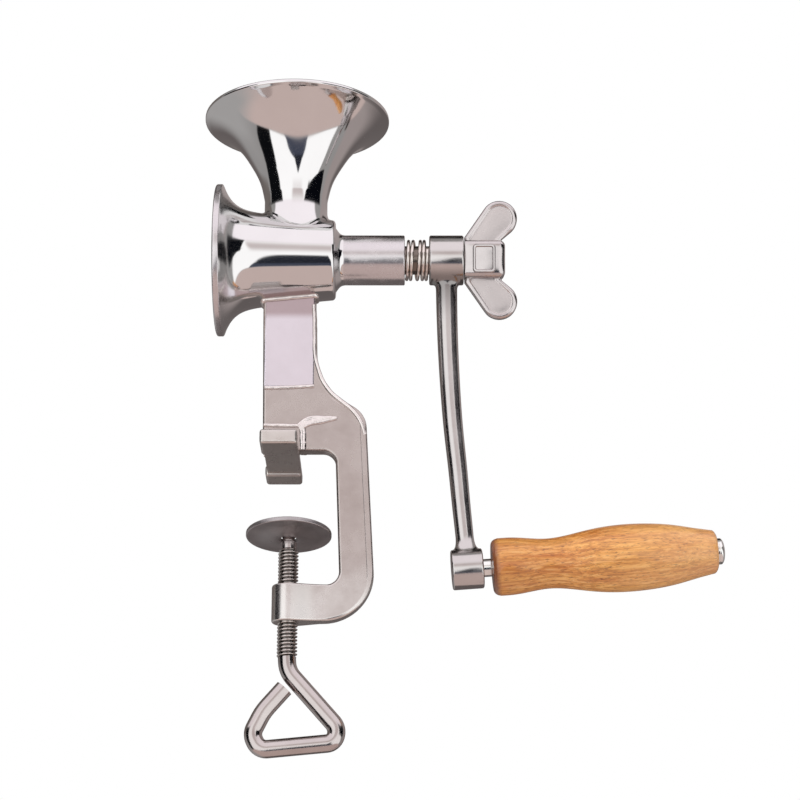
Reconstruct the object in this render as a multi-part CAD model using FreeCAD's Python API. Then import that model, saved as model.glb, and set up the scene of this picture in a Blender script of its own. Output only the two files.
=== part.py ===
"""Hand crank peanut grinder: a clamp-on mill with a bell hopper, a flared mouth and a wooden crank grip.

Frame: millimetres, +Z up, +X from the mouth towards the crank. The origin is the middle of the upper
jaw's lower face, which rests on the table top. The shaft runs along X at SHAFT_HEIGHT.
"""
import FreeCAD, Part
import math
import os

V = FreeCAD.Vector
ALONG_X = V(1, 0, 0)
ALONG_Y = V(0, 1, 0)
UP = V(0, 0, 1)

# --- where things stand ---
SHAFT_HEIGHT = 78.0  # shaft axis above the table face
SCREW_X = 3.0
MOUTH_X = -24.7  # front plane of the flared mouth
RUNNING = 0.05  # radial clearance of a turning or sliding fit
FACE_GAP = 0.3  # between faces of pieces that move past each other

# --- hopper ---
HOPPER_HEIGHT = 56.6  # rim above the shaft axis
HOPPER_RIM_RADIUS = 34.1
HOPPER_NECK_RADIUS = 11.5
HOPPER_SETBACK = 3.2  # neck's edge before the barrel's end
HOPPER_BELL_DEPTH = 32.0  # from the rim band down to the narrowest place
HOPPER_BAND = 1.5  # height of the rim's upright band
HOPPER_WALL = 1.7
HOPPER_BELL = (  # share of the depth below the band, share of the flare from neck to rim
    (0.0, 0.985),
    (0.075, 0.80),
    (0.185, 0.60),
    (0.31, 0.435),
    (0.50, 0.26),
    (0.74, 0.09),
    (1.0, 0.0),
)
THROAT_FILLET = 2.6  # weld fillet between the hopper's neck and the barrel

# --- barrel ---
MOUTH_RADIUS = 27.7
MOUTH_LIP_WIDTH = 2.3
MOUTH_LIP_WALL = 2.0
MOUTH_LIP_EDGE = 0.5
FLARE_LENGTH = 3.5  # how fast the flare dies out behind the lip
FLARE_STEPS = (0.0, 0.25, 0.6, 1.1, 1.9, 3.2, 5.0)  # in flare lengths
BARREL_LENGTH = 43.2  # mouth plane to the rounded shoulder
BARREL_START_RADIUS = 18.5  # the cone's own radius, carried on to the mouth plane
BARREL_END_RADIUS = 14.5
BARREL_SHOULDER = 1.4
SHOULDER_CURVE = ((1.0, 0.0), (0.4, 0.3), (0.0, 1.1))  # before the end and below the barrel, in shoulder sizes
BARREL_WALL = 2.1
BOSS_RADIUS = 9.1
BOSS_LENGTH = 25.2  # beyond the barrel's end
BOSS_ROOT_LENGTH = 3.4  # hollow curve between the barrel's shoulder and the boss
BOSS_ROOT_CURVE = ((0.3, 0.45), (0.6, 0.13), (1.0, 0.0))  # share of its length, share of its height
BOSS_EDGE = 0.5
CHAMBER_END_WALL = 2.9

# --- burrs ---
BURR_TEETH = 24
BURR_TWIST = 14.0  # degrees that the teeth turn along the cone
RING_FRONT_X = MOUTH_X + 1.9
RING_LENGTH = 13.3
RING_MOUTH_RADIUS = 21.9
RING_SLOPE = 0.82
RING_WALL = 1.9
RING_SEAT_BEND = 0.9  # where the ring's back turns inwards, in flare lengths behind the lip
RING_SEAT_FOOT = 2.2  # where it runs on along the barrel's wall
RING_STEP = 1.6  # how far the ring stands over the chamber's wall
RING_TOOTH_DEPTH = 1.0
BURR_GAP = 0.45
BURR_TOOTH_DEPTH = 1.5
BURR_FRONT_X = MOUTH_X + 3.2
BURR_FACE_THICKNESS = 1.0
BURR_FACE_EDGE = 0.5
BURR_BACK_TEETH = 0.7  # tooth depth at the small end to that at the large end
BURR_SINK = 0.6  # how far the cone's small end stands out behind the ring

# --- shaft and auger ---
SHAFT_RADIUS = 5.2
SHAFT_FLATS = 8.0  # across the two flats that drive the crank
FLATS_LEAD = 3.0  # flats before the crank hub, so that the hub can slide in
SHAFT_THREAD_RADIUS = 4.97
SHAFT_THREAD_PITCH = 1.5
SHAFT_THREAD_DEPTH = 0.85
SHAFT_THREAD_LEAD = 2.6  # how far the thread runs on inside the crank hub
SHAFT_END_REACH = 12.2  # shaft beyond the wing nut's seat
SHAFT_RECESS_GAP = 0.3  # shaft end behind the bolt's washer
BUSH_WALL = 1.75
AUGER_CORE_WALL = 1.7
AUGER_PITCH = 11.0
AUGER_CLEARANCE = 0.5
AUGER_END_GAP = 0.5
AUGER_FLIGHT_SINK = 0.6  # how deep the flight's root sits in the sleeve
AUGER_FLIGHT_ROOT = 3.0
AUGER_FLIGHT_TIP = 1.8
KEY_WIDTH = 3.0
KEY_HEIGHT = 3.0
KEY_SEAT = 1.6  # how deep the key sits in the shaft
KEY_START = 1.5  # behind the shaft's mouth end
KEY_SHORT = 7.1  # key's end before the auger's end
BOLT_RADIUS = 2.5
BOLT_HEAD_FLATS = 8.0
BOLT_HEAD_HEIGHT = 2.4
BOLT_HEAD_EDGE = 0.9
BOLT_LENGTH = 14.0
BURR_WASHER_RADIUS = 6.0
BURR_WASHER_THICKNESS = 0.9
BURR_WASHER_PLAY = 0.3
BURR_RECESS_DEPTH = 2.4

# --- spring ---
SPRING_WIRE = 1.2
SPRING_OUTER_RADIUS = 7.55
SPRING_END_PITCH = 1.4
SPRING_TURNS = (1.35, 1.0, 2.03)  # close turns at the boss, open turn, close turns at the hub
SPRING_START_TURN = 0.4  # where the wire starts, in turns from the top towards +Y
SPRING_SEAT_GAP = 0.05

# --- crank ---
CRANK_HUB_RADIUS = 9.1
CRANK_HUB_LENGTH = 12.5
SPRING_ROOM = 8.9  # boss end to crank hub
CRANK_DROP = 116.2  # shaft axis down to the lower boss
CRANK_OFFSET = 6.6  # how far the lower boss stands out from the hub's middle
CRANK_BOW = (  # share of the drop, share of the offset
    (0.097, 0.0),
    (0.29, 0.06),
    (0.43, 0.17),
    (0.557, 0.32),
    (0.695, 0.55),
    (0.80, 0.705),
    (0.895, 0.86),
)
CRANK_TOP_WIDTH = 7.9
CRANK_LOW_WIDTH = 6.2
CRANK_DEPTH_SHARE = 0.82  # depth of the arm's oval section to its width
CRANK_DEPTH_SWELL = 0.7  # how much of each widening the depth takes part in
CRANK_SWELL = (  # share of the way from hub to boss, width to the plain arm's width
    (0.062, 1.40),
    (0.078, 1.28),
    (0.10, 1.06),
    (0.135, 1.0),
    (0.35, 0.98),
    (0.60, 1.0),
    (0.84, 1.0),
    (0.90, 1.08),
    (0.925, 1.35),
    (0.95, 1.6),
    (0.975, 1.7),
)
CRANK_EDGE = 0.7
LOWER_BOSS_RADIUS = 7.0
LOWER_BOSS_LENGTH = 11.0
GRIP_TILT = 4.2  # degrees that the grip's free end stands up

# --- grip ---
PIN_RADIUS = 2.75
PIN_SHOULDER = 0.4  # how far the shoulder stands out from the pin
PIN_SHOULDER_LENGTH = 3.1
GRIP_LENGTH = 78.6
GRIP_END_GAP = 0.15
GRIP_EDGE = 1.6
GRIP_END_EDGE = 2.0
GRIP_SHAPE = (  # share of the length, radius
    (0.03, 10.05),
    (0.09, 10.0),
    (0.16, 9.4),
    (0.245, 8.75),
    (0.33, 9.3),
    (0.42, 10.55),
    (0.52, 11.55),
    (0.61, 11.8),
    (0.71, 11.45),
    (0.82, 10.3),
    (0.91, 8.75),
    (0.985, 7.6),
)
GRIP_END_WASHER = 0.45
CAP_RADIUS = 4.6
CAP_HEIGHT = 2.2
CAP_DOME = ((0.4, 1.0), (0.86, 0.7), (1.0, 0.0))  # share of the height, share of the radius

# --- wing nut ---
NUT_LENGTH = 14.0
NUT_HUB_FLATS = 13.2  # across the two faces that carry the raised frames
NUT_HUB_HEIGHT = 13.8
NUT_HUB_CORNER = 2.3
NUT_END_EDGE = 1.5
NUT_REST_TURN = 15.0  # degrees by which the wings lean at rest, the upper one to the front
NUT_ROOT_HALF = 8.3
WING_THICKNESS = 4.6
WING_EDGE = 1.1
WING_LOBE_RADIUS = 6.5
WING_LOBE_OUT = 15.2  # lobe centre from the shaft axis
WING_LOBE_X = 12.7  # lobe centre from the nut's seat
WING_NOTCH_X = 13.6
WING_NOTCH_OUT = 7.5
WING_RIM = 1.5
WING_RECESS = 0.35
BADGE_LENGTH = 8.1
BADGE_HEIGHT = 9.8
BADGE_RIM = 0.8
BADGE_RAISE = 0.35

# --- clamp frame ---
FRAME_THICKNESS = 5.8
FRAME_EDGE = 1.1
COLUMN_LEFT_TOP = -7.8
COLUMN_LEFT_FOOT = -6.6
COLUMN_RIGHT = 11.7
SHOULDER_INNER = (11.7, 29.9, 21.5)  # corner x, z and radius where the column turns out
SHOULDER_OUTER = (29.9, 18.2, 9.5)
HEEL = (33.7, -57.0, 17.5)
THROAT_TOP_X = 19.1
THROAT_BOTTOM_X = 20.9
THROAT_CORNER = 4.6
JAW_THICKNESS = 4.3
LOWER_ARM_TOP = -44.2
LOWER_ARM_BOTTOM = -57.5
SCREW_BOSS_RADIUS = 5.6
SCREW_BOSS_RUN = 13.0  # from the screw's axis to where the boss's sides have run into the arm
SCREW_BOSS_SINK = 0.3  # how deep those sides end in the arm
SCREW_BOSS_EDGE = 0.8

# --- jaw bar ---
JAW_LENGTH = 50.0
JAW_WIDTH = 13.0
JAW_EDGE = 0.7

# --- clamp screw and pad ---
SCREW_THREAD_RADIUS = 3.55
SCREW_THREAD_PITCH = 1.25
SCREW_THREAD_DEPTH = 0.6
SCREW_THREAD_END = -70.4
SCREW_ROD_RADIUS = 3.15
SCREW_COLLAR_RADIUS = 2.8
SCREW_COLLAR_LENGTH = 2.6
SCREW_NECK_RADIUS = 2.2
SCREW_HEAD_RADIUS = 3.4
SCREW_HEAD_HEIGHT = 0.7
SCREW_HEAD_EDGE = 0.3
SCREW_ROD_LEAD = 0.8  # plain rod between the thread and the bend
HANDLE_PATH = (  # centreline corners of the bent handle: x, z and bend radius
    (3.3, -74.4, 9.0),
    (20.8, -94.2, 5.0),
    (19.4, -99.2, 3.5),
    (-6.0, -101.6, 4.2),
    (-8.7, -96.2, 5.0),
    (-4.9, -88.5, 18.0),
    (2.3, -80.3, 0.0),
)
PAD_RADIUS = 15.0
PAD_THICKNESS = 1.6
PAD_MIDDLE_Z = -25.8
PAD_TILT = 7.0  # degrees that the pad leans on the screw's tip
PAD_DISH_DEPTH = 1.7
PAD_DISH_OUTER = 8.0
PAD_DISH_INNER = 5.0
PAD_CENTRE_THICKNESS = 1.2
PAD_HOLE_RADIUS = 2.7
PAD_EDGE = 0.3
PAD_HOLE_EDGE = 0.8
PAD_PLAY = 0.1

# --- places worked out from the sizes above ---
HOPPER_RIM_Z = SHAFT_HEIGHT + HOPPER_HEIGHT
LIP_BACK_X = MOUTH_X + MOUTH_LIP_WIDTH
BARREL_END_X = MOUTH_X + BARREL_LENGTH
HOPPER_X = BARREL_END_X - HOPPER_SETBACK - HOPPER_NECK_RADIUS
BOSS_END_X = BARREL_END_X + BOSS_LENGTH
CHAMBER_END_X = BARREL_END_X - CHAMBER_END_WALL
CHAMBER_RADIUS = BARREL_END_RADIUS - BARREL_WALL
THROAT_RADIUS = HOPPER_NECK_RADIUS - HOPPER_WALL
BUSH_BORE = SHAFT_RADIUS + RUNNING
BUSH_RADIUS = BUSH_BORE + BUSH_WALL
RING_BACK_X = RING_FRONT_X + RING_LENGTH
BURR_BACK_X = RING_BACK_X + BURR_SINK
BOLT_SEAT_X = BURR_FRONT_X + BURR_RECESS_DEPTH
SHAFT_START_X = BOLT_SEAT_X + SHAFT_RECESS_GAP
AUGER_END_X = CHAMBER_END_X - AUGER_END_GAP
KEY_END_X = AUGER_END_X - KEY_SHORT
CRANK_HUB_X = BOSS_END_X + SPRING_ROOM
CRANK_MIDDLE_X = CRANK_HUB_X + CRANK_HUB_LENGTH / 2
CRANK_HUB_END_X = CRANK_HUB_X + CRANK_HUB_LENGTH
NUT_SEAT_X = CRANK_HUB_END_X + FACE_GAP
FLATS_START_X = CRANK_HUB_X - FLATS_LEAD
SHAFT_END_X = NUT_SEAT_X + SHAFT_END_REACH
LOWER_BOSS = V(CRANK_MIDDLE_X + CRANK_OFFSET, 0, SHAFT_HEIGHT - CRANK_DROP)
GRIP_AXIS = V(math.cos(math.radians(GRIP_TILT)), 0, math.sin(math.radians(GRIP_TILT)))
GRIP_START = LOWER_BOSS_LENGTH / 2 + PIN_SHOULDER_LENGTH + GRIP_END_GAP
GRIP_END = GRIP_START + GRIP_LENGTH
CAP_START = GRIP_END + GRIP_END_GAP + GRIP_END_WASHER
PAD_LEAN = math.tan(math.radians(PAD_TILT))
PAD_FLOOR = PAD_THICKNESS / 2 - PAD_DISH_DEPTH  # dish floor, from the pad's middle plane
PAD_UNDERSIDE = PAD_FLOOR - PAD_CENTRE_THICKNESS
HEAD_SEAT_Z = PAD_MIDDLE_Z + PAD_FLOOR + SCREW_HEAD_RADIUS * PAD_LEAN + PAD_PLAY
COLLAR_TOP_Z = PAD_MIDDLE_Z + PAD_UNDERSIDE - SCREW_COLLAR_RADIUS * PAD_LEAN - PAD_PLAY
SCREW_THREAD_TOP = COLLAR_TOP_Z - SCREW_COLLAR_LENGTH


# --- small builders ---
def smooth(points):
    """One smooth edge through points."""
    curve = Part.BSplineCurve()
    curve.interpolate(points)
    return curve.toShape()


def run(points):
    """A straight edge through two points, or a smooth one through more."""
    return Part.makeLine(*points) if len(points) == 2 else smooth(points)


def face_of(*runs):
    """A flat face whose outline is a ring of runs, each starting where the last one ended."""
    return Part.Face(Part.Wire([run(points) for points in runs]))


def polygon_face(points):
    return Part.Face(Part.makePolygon(list(points) + [points[0]]))


def rounded_edges(corners, closed):
    """Lines and arcs in the XZ plane through corners given as x, z and radius."""
    points = [V(x, 0, z) for x, z, _ in corners]
    edges = []
    here = None
    first = None
    for i, (_, _, radius) in enumerate(corners):
        corner = points[i]
        ends = not closed and i in (0, len(corners) - 1)
        if ends or not radius:
            start, stop = corner, corner
        else:
            back = (points[i - 1] - corner).normalize()
            ahead = (points[(i + 1) % len(points)] - corner).normalize()
            half = back.getAngle(ahead) / 2
            middle = (back + ahead).normalize()
            start = corner + back * (radius / math.tan(half))
            stop = corner + ahead * (radius / math.tan(half))
            bend = corner + middle * (radius / math.sin(half) - radius)
        if here is None:
            first = start
        elif (start - here).Length > 1e-6:
            edges.append(Part.makeLine(here, start))
        if start != stop:
            edges.append(Part.Arc(start, bend, stop).toShape())
        here = stop
    if closed:
        edges.append(Part.makeLine(here, first))
    return edges


def at_shaft(x, radius):
    """A point above the shaft axis."""
    return V(x, 0, SHAFT_HEIGHT + radius)


def turned(face, through, along):
    """The solid that a face makes when it is turned right round an axis."""
    return face.revolve(through, along, 360)


def turned_on_shaft(points):
    """A solid turned about the shaft axis from an outline of (x, radius)."""
    return turned(polygon_face([at_shaft(x, r) for x, r in points]), at_shaft(0, 0), ALONG_X)


def shaft_cylinder(start, stop, radius):
    return Part.makeCylinder(radius, stop - start, at_shaft(start, 0), ALONG_X)


def box(low, high):
    return Part.makeBox(high[0] - low[0], high[1] - low[1], high[2] - low[2], V(*low))


def rounded_cylinder(radius, length, start, along, edge):
    """A cylinder with both its rims rounded."""
    solid = Part.makeCylinder(radius, length, start, along)
    rims = [rim for rim in solid.Edges if isinstance(rim.Curve, Part.Circle)]
    return solid.makeFillet(edge, rims)


def edges_where(solid, test):
    """The edges of a solid whose middle point passes a test."""
    return [edge for edge in solid.Edges if test(edge.valueAt((edge.FirstParameter + edge.LastParameter) / 2))]


def ridged(outer, inner, start, stop, pitch):
    """Outline points (along, radius) of a row of thread ridges from start to stop."""
    count = int((stop - start) / pitch)
    points = []
    for i in range(count):
        low = start + i * pitch
        points += [(low, inner), (low + pitch * 0.4, outer), (low + pitch * 0.6, outer)]
    return points + [(start + count * pitch, inner), (stop, inner)]


def save(name, shape):
    """Writes one node."""
    shape.Solids[0].exportStep(f"parts/{name}.step")


# --- hopper, barrel and frame outsides ---
def bell_points():
    """The hopper's outside from the rim band down to the neck, as (radius, height)."""
    top = HOPPER_RIM_Z - HOPPER_BAND
    flare = HOPPER_RIM_RADIUS - HOPPER_NECK_RADIUS
    return [(HOPPER_NECK_RADIUS + share * flare, top - depth * HOPPER_BELL_DEPTH)
            for depth, share in HOPPER_BELL]


def hopper_point(radius, height):
    return V(HOPPER_X + radius, 0, height)


def inside_of(points, wall):
    """The points a wall's thickness inside a smooth outline, found from its slope at each point."""
    curve = smooth(points)
    inner = []
    for i in range(len(points)):
        share = i / (len(points) - 1)
        place = curve.FirstParameter + share * (curve.LastParameter - curve.FirstParameter)
        across = curve.tangentAt(place).cross(ALONG_Y)
        inner.append(curve.valueAt(place) + across * math.copysign(wall, -across.x))
    return inner


def hopper_outside():
    """Bell and neck as one turned solid that reaches down into the barrel."""
    bell = [hopper_point(r, z) for r, z in bell_points()]
    rim = hopper_point(HOPPER_RIM_RADIUS, HOPPER_RIM_Z)
    band = hopper_point(HOPPER_RIM_RADIUS, HOPPER_RIM_Z - HOPPER_BAND)
    foot = hopper_point(HOPPER_NECK_RADIUS, SHAFT_HEIGHT + 4)
    axis_low = hopper_point(0, foot.z)
    axis_high = hopper_point(0, rim.z)
    face = face_of([axis_high, rim], [rim, band], [band, bell[0]], bell, [bell[-1], foot], [foot, axis_low],
                   [axis_low, axis_high])
    return turned(face, axis_low, UP)


def hopper_inside():
    """The funnel's hollow, down through the barrel's wall."""
    inner = inside_of([hopper_point(r, z) for r, z in bell_points()], HOPPER_WALL)
    above = HOPPER_RIM_Z + 1
    lip = hopper_point(HOPPER_RIM_RADIUS - HOPPER_WALL, above)
    low = hopper_point(THROAT_RADIUS, SHAFT_HEIGHT + 4)
    axis_low = hopper_point(0, low.z)
    axis_high = hopper_point(0, above)
    face = face_of([axis_high, lip], [lip, inner[0]], inner, [inner[-1], low], [low, axis_low],
                   [axis_low, axis_high])
    return turned(face, axis_low, UP)


def cone_radius(x):
    """The barrel's plain taper at x, without its flare."""
    share = (x - MOUTH_X) / BARREL_LENGTH
    return BARREL_START_RADIUS + share * (BARREL_END_RADIUS - BARREL_START_RADIUS)


def flare_points():
    """The barrel's outside from the lip's back edge to where only the taper is left."""
    rise = MOUTH_RADIUS - cone_radius(LIP_BACK_X)
    points = []
    for step in FLARE_STEPS:
        x = LIP_BACK_X + step * FLARE_LENGTH
        points.append(at_shaft(x, cone_radius(x) + rise * math.exp(-step)))
    points.append(at_shaft(BARREL_END_X - BARREL_SHOULDER, BARREL_END_RADIUS))
    return points


def barrel_outside():
    """Lip, flare, taper, rounded shoulder and shaft boss as one turned solid."""
    flare = flare_points()
    front_edge = at_shaft(MOUTH_X, MOUTH_RADIUS - MOUTH_LIP_EDGE)
    lip_edge = at_shaft(MOUTH_X + MOUTH_LIP_EDGE, MOUTH_RADIUS)
    shoulder = [at_shaft(BARREL_END_X - before * BARREL_SHOULDER, BARREL_END_RADIUS - below * BARREL_SHOULDER)
                for before, below in SHOULDER_CURVE]
    rise = shoulder[-1].z - SHAFT_HEIGHT - BOSS_RADIUS
    root = [shoulder[-1]]
    for along, up in BOSS_ROOT_CURVE:
        root.append(at_shaft(BARREL_END_X + along * BOSS_ROOT_LENGTH, BOSS_RADIUS + up * rise))
    boss_edge = at_shaft(BOSS_END_X - BOSS_EDGE, BOSS_RADIUS)
    boss_face = at_shaft(BOSS_END_X, BOSS_RADIUS - BOSS_EDGE)
    axis_end = at_shaft(BOSS_END_X, 0)
    axis_start = at_shaft(MOUTH_X, 0)
    face = face_of([axis_start, front_edge], [front_edge, lip_edge], [lip_edge, flare[0]], flare,
                   shoulder, root, [root[-1], boss_edge], [boss_edge, boss_face], [boss_face, axis_end],
                   [axis_end, axis_start])
    return turned(face, axis_start, ALONG_X)


def ring_bore(x):
    """The radius over the fixed burr's tooth tips at x."""
    return RING_MOUTH_RADIUS - RING_SLOPE * (x - RING_FRONT_X)


def ring_pocket():
    """The seat that the fixed burr fills in the mouth."""
    outer_front = ring_bore(RING_FRONT_X) + RING_WALL
    bend_x = LIP_BACK_X + RING_SEAT_BEND * FLARE_LENGTH
    return [
        (RING_FRONT_X, 0),
        (RING_FRONT_X, outer_front),
        (bend_x, ring_bore(bend_x) + RING_WALL),
        (LIP_BACK_X + RING_SEAT_FOOT * FLARE_LENGTH, cone_radius(bend_x) - BARREL_WALL),
        (RING_BACK_X, CHAMBER_RADIUS + RING_STEP),
        (RING_BACK_X, 0),
    ]


def barrel_inside():
    """Mouth, burr seat, auger chamber and bush bore."""
    lip_bore = MOUTH_RADIUS - MOUTH_LIP_WALL
    seat_edge = ring_pocket()[1][1]
    edge = MOUTH_LIP_EDGE
    mouth = turned_on_shaft([(MOUTH_X - edge, 0), (MOUTH_X - edge, lip_bore + 2 * edge),
                             (MOUTH_X + edge, lip_bore), (RING_FRONT_X, seat_edge), (RING_FRONT_X, 0)])
    seat = turned_on_shaft(ring_pocket())
    chamber = shaft_cylinder(RING_BACK_X - 0.5, CHAMBER_END_X, CHAMBER_RADIUS)
    bore = shaft_cylinder(CHAMBER_END_X - 1, BOSS_END_X + 1, BUSH_RADIUS)
    return mouth.fuse([seat, chamber, bore])


def hopper_and_barrel():
    """The hopper's neck is filleted onto the barrel, and the two are parted along the barrel's skin."""
    barrel = barrel_outside()
    throat = hopper_inside()
    both = barrel.fuse(hopper_outside()).removeSplitter()
    top = SHAFT_HEIGHT + BOSS_RADIUS
    reach = HOPPER_NECK_RADIUS + 0.6

    def seam(point):
        return abs(point.x - HOPPER_X) < reach and top - 4 < point.z < SHAFT_HEIGHT + MOUTH_RADIUS - 8

    joined = both.makeFillet(THROAT_FILLET, edges_where(both, seam))
    hollow = barrel_inside()
    return joined.cut(barrel).cut(throat), barrel.cut(hollow).cut(throat)


# --- burrs, shaft and what turns with it ---
def toothed_wire(x, tip, depth, turn):
    """A ring of pointed teeth across the shaft axis."""
    points = []
    for i in range(2 * BURR_TEETH):
        angle = math.pi * i / BURR_TEETH + math.radians(turn)
        radius = tip if i % 2 == 0 else tip - depth
        points.append(V(x, radius * math.sin(angle), SHAFT_HEIGHT + radius * math.cos(angle)))
    return Part.makePolygon(points + [points[0]])


def toothed_cone(start, stop, start_tip, stop_tip, depth, twist):
    """A solid with straight twisted teeth from one ring of teeth to a smaller one."""
    large = toothed_wire(start, start_tip, depth, 0)
    small = toothed_wire(stop, stop_tip, depth * BURR_BACK_TEETH, twist)
    return Part.makeLoft([large, small], True, True)


def fixed_burr():
    """The toothed ring in the mouth. Its teeth point inwards, so the cut is the toothed cone."""
    ring = turned_on_shaft(ring_pocket())
    reach = 0.5
    start, stop = RING_FRONT_X - reach, RING_BACK_X + reach
    cut = toothed_cone(start, stop, ring_bore(start) + RING_TOOTH_DEPTH, ring_bore(stop) + RING_TOOTH_DEPTH,
                       RING_TOOTH_DEPTH, -BURR_TWIST)
    return ring.cut(cut)


def key_room():
    """The space of the key that drives the auger and the cone."""
    top = SHAFT_HEIGHT + SHAFT_RADIUS - KEY_SEAT + KEY_HEIGHT
    return box((SHAFT_START_X + KEY_START, -KEY_WIDTH / 2, top - KEY_HEIGHT), (KEY_END_X, KEY_WIDTH / 2, top))


def cone_burr():
    """The turning cone: a thin flat face, a toothed cone behind it and a recess for its bolt."""
    seat = BURR_FRONT_X + BURR_FACE_THICKNESS
    face_tip = ring_bore(BURR_FRONT_X) - BURR_GAP - BURR_TOOTH_DEPTH / 2
    face = turned_on_shaft([(BURR_FRONT_X, 0), (BURR_FRONT_X, face_tip - BURR_FACE_EDGE),
                            (BURR_FRONT_X + BURR_FACE_EDGE, face_tip), (seat, face_tip), (seat, 0)])
    cone = toothed_cone(seat, BURR_BACK_X, ring_bore(seat) - BURR_GAP, ring_bore(BURR_BACK_X) - BURR_GAP,
                        BURR_TOOTH_DEPTH, BURR_TWIST)
    recess = shaft_cylinder(BURR_FRONT_X - 1, BOLT_SEAT_X, BURR_WASHER_RADIUS + BURR_WASHER_PLAY)
    bore = shaft_cylinder(BURR_FRONT_X, BURR_BACK_X + 1, SHAFT_RADIUS)
    return face.fuse(cone).cut(recess).cut(bore).cut(key_room())


def feed_auger():
    """A left-hand flight on a sleeve, which carries the nuts from the hopper to the burrs."""
    core = AUGER_CORE_WALL + SHAFT_RADIUS
    tip = CHAMBER_RADIUS - AUGER_CLEARANCE
    start, stop = BURR_BACK_X, AUGER_END_X
    length = stop - start + AUGER_PITCH
    low = start - AUGER_PITCH / 2
    helix = Part.makeHelix(AUGER_PITCH, length, core, 0, True)
    half_root, half_tip = AUGER_FLIGHT_ROOT / 2, AUGER_FLIGHT_TIP / 2
    inner = core - AUGER_FLIGHT_SINK
    section = Part.makePolygon([V(inner, 0, -half_root), V(tip, 0, -half_tip), V(tip, 0, half_tip),
                                V(inner, 0, half_root), V(inner, 0, -half_root)])
    flight = Part.Wire(helix.Edges).makePipeShell([section], True, True)
    flight.rotate(V(0, 0, 0), ALONG_Y, 90)
    flight.translate(V(low, 0, SHAFT_HEIGHT))
    sleeve = shaft_cylinder(start, stop, core)
    room = shaft_cylinder(start, stop, tip + 1)
    bore = shaft_cylinder(start - 1, stop + 1, SHAFT_RADIUS)
    return sleeve.fuse(flight.common(room)).cut(bore).cut(key_room())


def between_flats(start, stop, across):
    """A slab about the shaft axis that leaves two flats on what it cuts out."""
    high = 2 * SHAFT_RADIUS
    return box((start, -across / 2, SHAFT_HEIGHT - high), (stop, across / 2, SHAFT_HEIGHT + high))


def grinding_shaft():
    """Round in the bush, two flats under the crank hub, threaded at the end for the wing nut."""
    thread_start = NUT_SEAT_X - SHAFT_THREAD_LEAD
    plain = shaft_cylinder(SHAFT_START_X, FLATS_START_X, SHAFT_RADIUS)
    driven = shaft_cylinder(FLATS_START_X, thread_start, SHAFT_RADIUS)
    minor = SHAFT_THREAD_RADIUS - SHAFT_THREAD_DEPTH
    ridges = ridged(SHAFT_THREAD_RADIUS, minor, thread_start, SHAFT_END_X, SHAFT_THREAD_PITCH)
    thread = turned_on_shaft([(thread_start, 0)] + ridges + [(SHAFT_END_X, 0)])
    flatted = driven.fuse(thread).common(between_flats(FLATS_START_X, SHAFT_END_X, SHAFT_FLATS))
    tapped = shaft_cylinder(SHAFT_START_X - 1, BOLT_SEAT_X + BOLT_LENGTH + 1, BOLT_RADIUS)
    return plain.fuse(flatted).cut(tapped).cut(key_room())


def burr_washer():
    disc = shaft_cylinder(BOLT_SEAT_X - BURR_WASHER_THICKNESS, BOLT_SEAT_X, BURR_WASHER_RADIUS)
    return disc.cut(shaft_cylinder(BURR_FRONT_X, BOLT_SEAT_X + 1, BOLT_RADIUS + RUNNING))


def burr_bolt():
    """Hexagon-headed bolt into the end of the shaft."""
    seat = BOLT_SEAT_X - BURR_WASHER_THICKNESS
    corner = BOLT_HEAD_FLATS / 2 / math.cos(math.pi / 6)
    head = seat - BOLT_HEAD_HEIGHT
    points = [V(head, corner * math.sin(i * math.pi / 3), SHAFT_HEIGHT + corner * math.cos(i * math.pi / 3))
              for i in range(6)]
    hexagon = polygon_face(points).extrude(V(BOLT_HEAD_HEIGHT, 0, 0))
    dome = turned_on_shaft([(head, 0), (head, corner - BOLT_HEAD_EDGE), (head + BOLT_HEAD_EDGE / 2, corner),
                            (seat, corner), (seat, 0)])
    return hexagon.common(dome).fuse(shaft_cylinder(seat, seat + BOLT_LENGTH, BOLT_RADIUS))


def boss_bush():
    tube = shaft_cylinder(CHAMBER_END_X, BOSS_END_X, BUSH_RADIUS)
    return tube.cut(shaft_cylinder(CHAMBER_END_X - 1, BOSS_END_X + 1, BUSH_BORE))


def spring_path_points():
    """Close turns at both ends with an open turn between them, as (angle, x)."""
    start = BOSS_END_X + SPRING_SEAT_GAP + SPRING_WIRE / 2
    stop = CRANK_HUB_X - SPRING_SEAT_GAP - SPRING_WIRE / 2
    first, middle, last = SPRING_TURNS
    turns = (0, first, first + middle, first + middle + last)
    places = (start, start + first * SPRING_END_PITCH, stop - last * SPRING_END_PITCH, stop)
    steps = 12
    points = []
    for i in range(int(turns[-1] * steps) + 1):
        turn = i / steps
        leg = max(k for k in range(3) if turns[k] <= turn + 1e-9)
        share = (turn - turns[leg]) / (turns[leg + 1] - turns[leg])
        angle = (SPRING_START_TURN + turn) * 2 * math.pi
        points.append((angle, places[leg] + share * (places[leg + 1] - places[leg])))
    return points


def compression_spring():
    """Round wire wound about the shaft between the boss and the crank hub."""
    mean = SPRING_OUTER_RADIUS - SPRING_WIRE / 2
    points = [V(x, mean * math.sin(a), SHAFT_HEIGHT + mean * math.cos(a)) for a, x in spring_path_points()]
    path = smooth(points)
    section = Part.Wire(Part.makeCircle(SPRING_WIRE / 2, points[0], path.tangentAt(path.FirstParameter)))
    return Part.Wire(path).makePipeShell([section], True, True)


# --- crank, grip and wing nut ---
def flatted_bore(start, stop):
    """The crank hub's hole: round with two flats, a sliding fit on the shaft."""
    slab = between_flats(start, stop, SHAFT_FLATS + 2 * RUNNING)
    return shaft_cylinder(start, stop, SHAFT_RADIUS + RUNNING).common(slab)


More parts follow.
